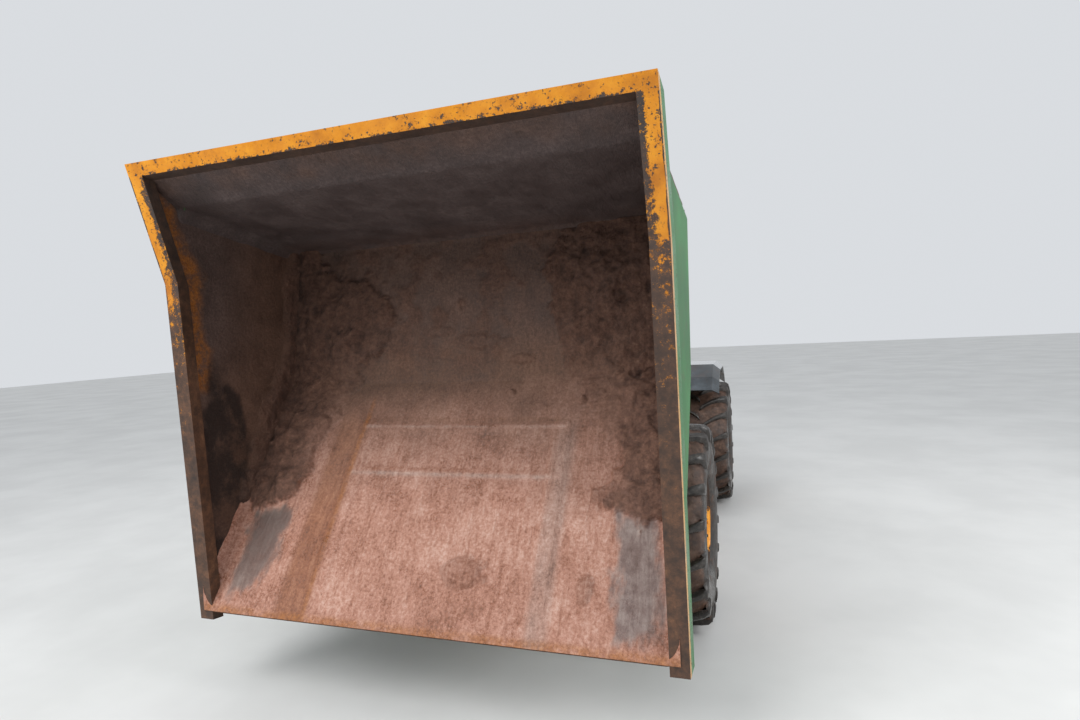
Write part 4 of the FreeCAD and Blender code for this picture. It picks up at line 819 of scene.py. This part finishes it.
# Cylinders.
def ram(kind, name, base, end, radius, rod, eye, wide, mouth, rod_long, neck):
    """A turned barrel and rod between two pins. The mouth and the neck are the barrel's ends."""
    base, end, half = Vector(base), Vector(end), wide / 2
    way = (end - base).normalized()
    across = Vector((1, 0, 0)) if abs(way.x) < 0.5 and abs(way.z) > 0.05 else Vector(UP)
    shell = [(neck, 0), (neck, radius * 0.82), (neck + 0.012, radius * 0.97), (mouth - 0.055, radius * 0.97),
             (mouth - 0.055, radius), (mouth - 0.006, radius), (mouth, radius * 0.93),
             (mouth, rod + 0.004), (mouth - 0.01, rod + 0.0015)]
    ring = [(half * x, eye * r) for x, r in ((-1, 0), (-1, 0.9), (-0.8, 1), (0.8, 1), (1, 0.9), (1, 0))]
    parts = [turned(shell, base, way, 40), turned(ring, base, across),
             turned([(0, half * 0.8), (neck + 0.02, half * 0.8)], base, way, 24)]
    for along in (neck + 0.05, mouth - 0.075):
        boss = base + way * along + way.cross(across).normalized() * radius * 0.9
        parts.append(turned([(0, 0.013), (0.016, 0.013), (0.018, 0.011), (0.018, 0)], boss,
                            way.cross(across), 12))
    stem = [(-rod_long, 0), (-rod_long, rod * 0.96), (-eye * 0.7, rod), (0, rod)]
    stem_parts = [turned(stem, end, way), turned(ring, end, across)]
    for part, made_of, slot in (("barrel", parts, "black_paint"), ("rod", stem_parts, "rod_chrome")):
        node = f"{kind}_{part}_{name}"
        set_piece(f"{node}_turned", made_of, slot, node, body=node)


def rams():
    pin = [float(v) for v in tipped(0.246, 0.235)]
    closed = hypot(HINGE[0] + 0.246 + 0.4, HINGE[1] + 0.235 - 0.75)
    for name, side in (("left", 1), ("right", -1)):
        ram("tip", name, (0.2 * side, -0.4, 0.75), (0.2 * side, *pin), 0.055, 0.03, 0.05, 0.046,
            closed - 0.09, closed - 0.117, 0.08)
        ram("steer", name, (0.3 * side, 0.9, 0.65), (0.3 * side, 0.05, 0.65), 0.035, 0.02, 0.036, 0.07,
            0.545, 0.5, 0.03)


# Driver's place.
def steering_wheel():
    at = Vector((0, 0.8356 + 0.29 * sin(CONSOLE_LEAN), 1.505 + 0.29 * cos(CONSOLE_LEAN)))
    turn = shift(at) @ rotation(-CONSOLE_LEAN, 4, "X")
    a, b = np.meshgrid(np.linspace(0, TURN, 73), np.linspace(0, TURN, 17), indexing="ij")
    ripple = 0.0125 + 0.0012 * np.cos(24 * a) * (np.cos(b) < 0.2)
    out = 0.175 + ripple * np.cos(b)
    parts = [(welded(np.stack([out * np.cos(a), out * np.sin(a), 0.012 + ripple * np.sin(b)], -1)), None)]
    for degrees in (90, 210, 330):
        x, y = cos(radians(degrees)), sin(radians(degrees))
        parts.append(tube([(r * x, r * y, z) for r, z in ((0.02, 0.006), (0.1, 0.004), (0.17, 0.012))],
                          0.008, 12, 0.03))
    boss = [(-0.004, 0), (-0.004, 0.03), (0.012, 0.034), (0.02, 0.03), (0.025, 0.02), (0.026, 0)]
    knob = [(0, 0.006), (0.012, 0.006), (0.016, 0.014), (0.026, 0.016), (0.03, 0)]
    for profile, place, sides in ((boss, (0, 0, 0), 32), (knob, (-0.15, 0.085, 0), 20)):
        parts.append((turn_mesh(profile, sides), shift(place) @ rotation(-pi / 2, 4, "Y")))
    set_piece("hand_wheel", [(mesh, turn @ (own or Matrix())) for mesh, own in parts], "guard_plastic",
              "steering_wheel", limit=50)


def handrails():
    parts, front, back, foot, top = [], 0.93, 1.2, 1.045, 1.92
    for x in (0.64, -0.64):
        hoop = [(x, front, foot), (x, front, top), (x, back, top), (x, back, foot)]
        parts += [tube(hoop, 0.0165, 16, 0.07), tube([(x, front, 1.5), (x, back, 1.5)], 0.0135, 14)]
        parts += [solid((0.06, 0.06, 0.008), (x, y, 1.049), 0.002) for y in (front, back)]
    set_piece("tube_handrails", parts, "chassis_paint", "handrails", limit=40)


def bolt(at, way, size):
    return turned([(0, size * 1.35), (0.002, size * 1.3), (0.002, size), (size * 0.7, size),
                   (size * 0.8, size * 0.85), (size * 0.8, 0)], at, way, 6)


# Seat. The cushions' voxel size, the farthest that the simulation may move a point, and its frames.
VOXEL, SWELL_CAP, FRAMES = 0.007, 0.012, 20
DECK_TOP, SEAT_BASE_HIGH = 1.047, 0.333


def settled(thing):
    """The mesh of an object with its modifiers applied, and its points."""
    mesh = bpy.data.meshes.new_from_object(thing.evaluated_get(bpy.context.evaluated_depsgraph_get()))
    thing.modifiers.clear()
    points = np.empty(3 * len(mesh.vertices), np.float32)
    mesh.vertices.foreach_get("co", points)
    return mesh, points.reshape(-1, 3)


def swollen(size, matrix):
    """A cushion form blown up by a cloth simulation."""
    base, _ = solid(size, bevel=0.34 * min(size), segments=4)
    base.transform(matrix)
    thing = linked("cushion_form", base)
    remesh = thing.modifiers.new("remesh", "REMESH")
    remesh.mode, remesh.voxel_size = "VOXEL", VOXEL
    bpy.context.view_layer.update()
    mesh, before = settled(thing)
    thing.data = mesh
    after = before
    cloth = thing.modifiers.new("cloth", "CLOTH")
    cloth.settings.use_pressure = True
    cloth.settings.uniform_pressure_force = 4.0
    cloth.settings.effector_weights.gravity = 0
    cloth.point_cache.frame_start, cloth.point_cache.frame_end = 1, FRAMES
    for frame_number in range(1, FRAMES + 1):
        SCENE.frame_set(frame_number)
    _, after = settled(thing)
    SCENE.frame_set(1)
    move = after - before
    far = norm(move, axis=1, keepdims=True)
    bpy.data.objects.remove(thing)
    return mesh, before + move * np.minimum(1, SWELL_CAP / np.maximum(far, 1e-6))


def channels(across, along, seams, edge, rows):
    """Depth of two sewn channels along a cushion, and of shorter ones across it between them."""
    def groove(value, at):
        return np.exp(-((value - at) / 0.006) ** 2)

    cut = groove(np.abs(across), seams) * 0.009
    for at in rows:
        cut = np.maximum(cut, groove(along, at) * 0.008 * (np.abs(across) < edge))
    return cut


def cushion(name, mesh, points, matrix):
    mesh.vertices.foreach_set("co", points.ravel())
    mesh.transform(matrix)
    piece(name, mesh, "rear_frame", "seat_vinyl", "seat")


def seat():
    """Vinyl cushions with sewn channels and side bolsters, in a moulded pan, over a ribbed gaiter."""
    mesh, p = swollen((0.425, 0.42, 0.07), shift((0, 1.545, 1.452)))
    x, y, z = p.T
    rise = 0.022 * step(np.abs(x), 0.13, 0.19) + 0.012 * step(y, 1.62, 1.36) - 0.006 * band(x, 0, 0.12, 0.1)
    cut = channels(x, y, 0.135, 0.137, (1.42, 1.5, 1.58, 1.66))
    p[:, 2] = np.maximum(z + step(z, 1.452, 1.48) * (rise - cut), 1.4135)
    cushion("seat_cushion", mesh, p, Matrix())
    lean = shift((0, 1.797, 1.7)) @ rotation(radians(-6.8), 4, "X")
    mesh, p = swollen((0.42, 0.062, 0.375), Matrix())
    x, y, z = p.T
    puff = 0.014 * step(np.abs(x), 0.13, 0.18) + 0.012 * band(z, -0.1, 0.06, 0.06)
    cut = channels(x, z, 0.13, 0.132, (-0.09, -0.01, 0.07))
    p[:, 1] = np.minimum(y - step(-y, 0, 0.025) * (puff - cut), 0.036)
    cushion("seat_back", mesh, p, lean)
    lever = [(0, 0), (0, 0.012), (0.06, 0.011), (0.066, 0.016), (0.085, 0.014), (0.087, 0)]
    pan = [solid((0.46, 0.46, 0.034), (0, 1.55, 1.397), 0.012, 3),
           (solid((0.44, 0.026, 0.4), bevel=0.011, segments=3)[0], lean @ shift((0, 0.047, -0.005)))]
    pan += [solid((0.03, 0.11, 0.05), (side * 0.2, 1.80, 1.44), 0.008) for side in SIDES]
    pan.append(turned(lever, (0.2, 1.42, 1.385), (0, -1, 0), 16))
    set_piece("seat_pan", pan, "guard_plastic", "seat")
    rows, r = [], 0.05
    for t in np.linspace(0, 1, 49):
        inset = 0.02 * t + 0.012 - 0.007 * cos(TURN * 7 * t)
        half_x, half_y = 0.2 - inset, 0.19 - inset - 0.006 * t
        row = []
        for corner, (sx, sy) in enumerate(((1, 1), (-1, 1), (-1, -1), (1, -1))):
            for a in np.linspace(0, pi / 2, 6) + corner * pi / 2:
                row.append((sx * (half_x - r) + r * cos(a), 1.59 + sy * (half_y - r) + r * sin(a),
                            DECK_TOP + SEAT_BASE_HIGH * t))
        rows.append(row + row[:1])
    piece("seat_gaiter", welded(np.array(rows)), "rear_frame", "guard_plastic", "seat_base")


# Console.
def console_parts():
    """Panel, gauges, switches, lever knobs and pedals round the console."""
    ahead, up = Vector((0, -0.7345, 0.6789)), Vector((0, 0.6789, 0.7345))
    turn = Matrix(((-1, 0, 0), (0, ahead.y, up.y), (0, ahead.z, up.z)))
    gauges = (-0.165, -0.095)

    def spot(x, along, rise=0):
        return Vector((x, 0.83, 1.5553)) + ahead * along + up * rise

    plates = [solid((0.15, 0.16, 0.012), spot(side * 0.13, 0, 0.004), 0.005, 3, turn) for side in SIDES]
    plates += [solid((0.022, 0.034, 0.014), spot(-0.185 + 0.03 * k, -0.045, 0.014), 0.003, 2, turn)
               for k in range(4)]
    collar = [(0, 0.038), (0.02, 0.034), (0.03, 0.026), (0.05, 0.024), (0.05, 0)]
    plates.append(turned(collar, spot(0, -0.005), (0, sin(CONSOLE_LEAN), cos(CONSOLE_LEAN)), 28))
    boot = [(0, 0.026), (0.006, 0.026), (0.014, 0.016), (0.022, 0.02), (0.03, 0.012), (0.04, 0.009)]
    knob = [(-0.03, 0.009), (-0.024, 0.013), (-0.01, 0.019), (0.004, 0.0215), (0.016, 0.018), (0.023, 0.009),
            (0.025, 0)]
    for x, y in ((0.1496, 0.8406), (0.1848, 0.8206)):
        plates += [turned(boot, (x, y, 1.545), UP, 20), turned(knob, (x, y, 1.735), UP, 24)]
    pedal = rotation(radians(-28), 3, "X")
    for x in (-0.12, 0.12):
        at = Vector((x, 0.896, 1.112))
        plates += [tube([(x, 0.80, 1.25), (x, 0.862, 1.2), (x, 0.885, 1.115)], 0.01, 10, 0.03),
                   solid((0.075, 0.014, 0.1), at, 0.004, 2, pedal)]
        plates += [solid((0.062, 0.005, 0.006), at + pedal @ Vector((0, 0.009, h)), 0.002, 1, pedal)
                   for h in (-0.036, -0.018, 0, 0.018, 0.036)]
    set_piece("console_fittings", plates, "guard_plastic", limit=40)
    bright = [turned([(0, 0.031), (0.008, 0.031), (0.010, 0.028), (0.007, 0.026)], spot(x, 0.02, 0.010), up)
              for x in gauges]
    key = [(0, 0.013), (0.006, 0.013), (0.008, 0.010), (0.008, 0.004), (0.02, 0.004), (0.02, 0)]
    bright.append(turned(key, spot(0.19, -0.04, 0.010), up, 20))
    set_piece("gauge_rings", bright, "pin_steel")
    gauge_face("gauge_face", [spot(x, 0.02, 0.016) for x in gauges])
    faces = [turned([(0, 0.0265), (0.0055, 0.0265), (0.006, 0.024), (0.006, 0)], spot(x, 0.02, 0.010), up)
             for x in gauges]
    set_piece("gauge_faces", faces, "guard_plastic", look="gauge_face")


# Roll bar, lamps and bonnet.
def lamps():
    top = Vector((0.3, 1.9, 3.16))
    base = [(0, 0), (0, 0.0515), (0.012, 0.0515), (0.018, 0.048), (0.03, 0.046), (0.034, 0.044), (0.034, 0)]
    set_piece("beacon_base", [turned(base, top, UP, 48)], "guard_plastic", "beacon", body="rops")
    dome = [(0.032, 0.0455)]
    for k in range(18):
        h, r = 0.036 + 0.0042 * k, 0.0445 - 0.00025 * k
        dome += [(h, r), (h + 0.002, r + 0.001)]
    dome += [(0.116, 0.039), (0.124, 0.03), (0.128, 0.016), (0.129, 0)]
    set_piece("beacon_dome", [turned(dome, top, UP, 48)], "amber_lens", body="rops", limit=60)
    for name, size, (x, y), bevel, slot, *nodes in (
            ("tail_lamp_cases", (0.158, 0.05, 0.088), (0.56, 2.585), 0.008, "guard_plastic", "tail_lamps"),
            ("tail_lenses_red", (0.088, 0.014, 0.074), (0.524, 2.611), 0.006, "red_lens"),
            ("tail_lenses_amber", (0.056, 0.014, 0.074), (0.6, 2.611), 0.006, "amber_lens")):
        set_piece(name, [solid(size, (side * x, y, 1.046), bevel, 3) for side in SIDES], slot, *nodes)


def bonnet_fittings():
    """Pressed louvres in both flanks, catches and a lifting handle."""
    louvres, fittings, lock = [], [], [(0, 0.02), (0.006, 0.02), (0.008, 0.016), (0.008, 0)]
    u, v = np.meshgrid(np.linspace(-1, 1, 9), np.linspace(0, 1, 6), indexing="ij")
    swell = 0.4295 + 0.0095 * np.sqrt(1 - u * u) * np.sin(pi * v * 0.62)
    for side in SIDES:
        for row in range(9):
            points = np.stack([side * swell, 2.235 + 0.085 * u, 1.16 + 0.026 * row + 0.016 * (1 - v)], -1)
            louvres.append((welded(points), None))
        fittings += [solid((0.006, 0.05, 0.09), (side * 0.433, 2.03, 1.1), 0.002),
                     turned(lock, (side * 0.434, 2.03, 1.118), (side, 0, 0), 24),
                     solid((0.012, 0.022, 0.05), (side * 0.438, 2.03, 1.09))]
    set_piece("bonnet_louvres", louvres, "bonnet_paint", body="bonnet", limit=60)
    foot, top = 1.497, 1.53
    fittings.append(tube([(-0.11, 2.05, foot), (-0.11, 2.05, top), (0.11, 2.05, top), (0.11, 2.05, foot)],
                         0.009, 12, 0.022))
    set_piece("bonnet_catches", fittings, "black_paint", body="bonnet")


def exhaust():
    x, y = -0.62, 1.99
    can = [(0, 0), (0, 0.04), (0.012, 0.054), (0.03, 0.0595)]
    for h in (0.085, 0.3):
        can += [(h, 0.0595), (h + 0.002, 0.0625), (h + 0.027, 0.0625), (h + 0.029, 0.0595)]
    can += [(0.39, 0.0595), (0.408, 0.054), (0.42, 0.036), (0.42, 0.031)]
    parts = [turned(can, (x, y, 1.03), UP, 48), solid((0.22, 0.05, 0.02), (-0.51, y, 1.02), 0.003),
             tube([(x, y, 1.44), (x, y, 1.8), (x, y + 0.022, 1.866)], 0.0315, 28)]
    for z in (1.13, 1.345):
        parts += [solid((0.02, 0.04, 0.03), (x + 0.065, y, z), 0.003),
                  bolt((x + 0.076, y, z), (1, 0, 0), 0.008)]
    set_piece("exhaust_stack", parts, "black_paint", "exhaust", look="hot_steel")


# Deck, tanks and steps.
def chequer():
    """Raised lozenges of the tread plate, alternately leaning left and right."""
    points, faces = [], []
    for i, y in enumerate(np.arange(0.62, 1.84, 0.03)):
        for j, x in enumerate(np.arange(-0.84, 0.85, 0.03)):
            if abs(x) > (0.845 if 0.915 < y < 1.065 else (0.675 if y > 0.915 else 0.425)):
                continue
            lean = pi / 4 * (1 if (i + j) % 2 else -1)
            a, b = Vector((cos(lean), sin(lean), 0)), Vector((-sin(lean), cos(lean), 0))
            at, high, n = Vector((x, y, 1.0448)), Vector((0, 0, 0.0024)), len(points)
            points += [at - a * 0.0135, at - b * 0.0042, at + a * 0.0135, at + b * 0.0042,
                       at - a * 0.006 + high, at + a * 0.006 + high]
            faces += [[n + i for i in face] for face in ((0, 1, 5, 4), (1, 2, 5), (2, 3, 5), (3, 0, 4, 5))]
    mesh = bpy.data.meshes.new("chequer")
    mesh.from_pydata([tuple(p) for p in points], [], faces)
    piece("deck_chequer", mesh, "rear_frame", "black_paint", smooth=False)


def tank_fittings():
    cap = [(0, 0.052), (0.006, 0.052), (0.008, 0.044), (0.03, 0.044), (0.034, 0.04), (0.036, 0)]
    parts, caps = [], []
    for side in SIDES:
        caps += [turned(cap, (side * 0.66, 0.76, 1.03), UP, 36),
                 solid((0.09, 0.014, 0.014), (side * 0.66, 0.76, 1.071))]
        for y in (0.71, 1.01):
            parts += [solid((0.46, 0.035, 0.006), (side * 0.63, y, 0.499), 0.002),
                      solid((0.006, 0.035, 0.5), (side * 0.4005, y, 0.76), 0.002)]
        parts += [bolt((side * 0.72, 0.639, z), (0, -1, 0), 0.009) for z in (0.62, 0.86)]
    parts.append(tube([(0.78, 0.633, 0.62), (0.78, 0.633, 0.88)], 0.008))
    parts += [solid((0.03, 0.02, 0.024), (0.78, 0.634, z)) for z in (0.62, 0.88)]
    set_piece("tank_caps", caps, "guard_plastic")
    set_piece("tank_straps", parts, "pin_steel")


def step_treads():
    treads = [solid((0.15, 0.007, 0.006), (side * 0.965, 0.69 + 0.034 * k, z + 0.002), 0.002, 1)
              for side in SIDES for z in (0.442, 0.7375) for k in range(11)]
    set_piece("step_treads", treads, "chassis_paint")


def bolts():
    """Hexagon bolts of the rear frame, roll bar feet, counterweight and mudguards."""
    rear = []
    for side in SIDES:
        rear += [bolt((side * 0.545, y, 1.06), UP, 0.012) for y in (1.868, 1.932)]
        rear += [bolt((side * 0.45, 2.63, z), (0, 1, 0), 0.017) for z in (0.68, 0.88)]
        rear += [bolt((side * 0.6895, y, 1.16), (side, 0, 0), 0.009) for y in (1.35, 1.55, 1.85, 2.05)]
        rear += [bolt((side * 0.4005, y, z), (side, 0, 0), 0.013)
                 for y in (1.58, 1.7, 1.82) for z in (0.83, 0.93)]
    set_piece("frame_bolts", rear, "pin_steel")


def finish_nodes():
    """Gives each CAD node that still shows its finish and soft edges."""
    slots = {row["node"]: row["material_slot"] for row in frame["record"]["subparts"]}
    for node, thing in frame["nodes"].items():
        if not thing.hide_render:
            thing.data.materials.clear()
            # The mudguards take the plastic with the painted sheen.
            thing.data.materials.append(LOOKS["guard_painted_sheen" if node == "mudguards" else slots[node]])
            bevel = thing.modifiers.new("soft edges", "BEVEL")
            bevel.width, bevel.segments = 0.003, 2
            bevel.limit_method, bevel.angle_limit = "ANGLE", radians(28)


# Stage.
def camera():
    ahead = Vector((sin(YAW) * cos(PITCH), cos(YAW) * cos(PITCH), sin(PITCH)))
    level = Vector((cos(YAW), -sin(YAW), 0))
    above = level.cross(ahead)
    right = cos(ROLL) * level + sin(ROLL) * above
    up = cos(ROLL) * above - sin(ROLL) * level
    data = bpy.data.cameras.new("camera")
    data.sensor_width = 36
    data.lens = data.sensor_width * FOCAL_PIXELS / IMAGE_WIDTH
    SCENE.camera = linked("camera", data)
    SCENE.camera.matrix_world = shift(EYE) @ Matrix((right, up, -ahead)).transposed().to_4x4()


def lamp(name, at, target, size, power):
    data = bpy.data.lights.new(name, "AREA")
    data.shape, data.size, data.energy = "DISK", size, power
    turn = (Vector(at) - Vector(target)).to_track_quat("Z", "Y").to_matrix().to_4x4()
    linked(name, data).matrix_world = shift(at) @ turn


def stage():
    SCENE.view_settings.view_transform = "Standard"
    mesh, reach = bpy.data.meshes.new("floor"), 40
    mesh.from_pydata([(-reach, -reach, 0), (reach, -reach, 0), (reach, reach, 0), (-reach, reach, 0)], [],
                     [(0, 1, 2, 3)])
    linked("floor", mesh)
    t = Tree("floor")
    t.finish(t.mix(t.noise(0.8, 4).span(0.3, 0.7), colour("D3D3D1"), colour("DDDDDB")), 0.9)
    mesh.materials.append(t.material)
    SCENE.world = bpy.data.worlds.new("sky")
    SCENE.world.use_nodes = True
    sky = SCENE.world.node_tree.nodes["Background"].inputs
    sky["Color"].default_value, sky["Strength"].default_value = (0.93, 0.96, 1, 1), 0.75
    lamp("key", (-2.5, -7.0, 6.5), (0, -2.0, 1.2), 5.0, 420)
    lamp("side", (6.0, -2.0, 5.0), (0, 0, 1), 4.0, 200)


camera()
run_lining()
rear_lining()
wall_lining("lining_left", 1)
wall_lining("lining_right", -1)
wheels()
rams()
steering_wheel()
handrails()
seat()
console_parts()
lamps()
bonnet_fittings()
exhaust()
chequer()
tank_fittings()
step_treads()
bolts()
finish_nodes()
stage()
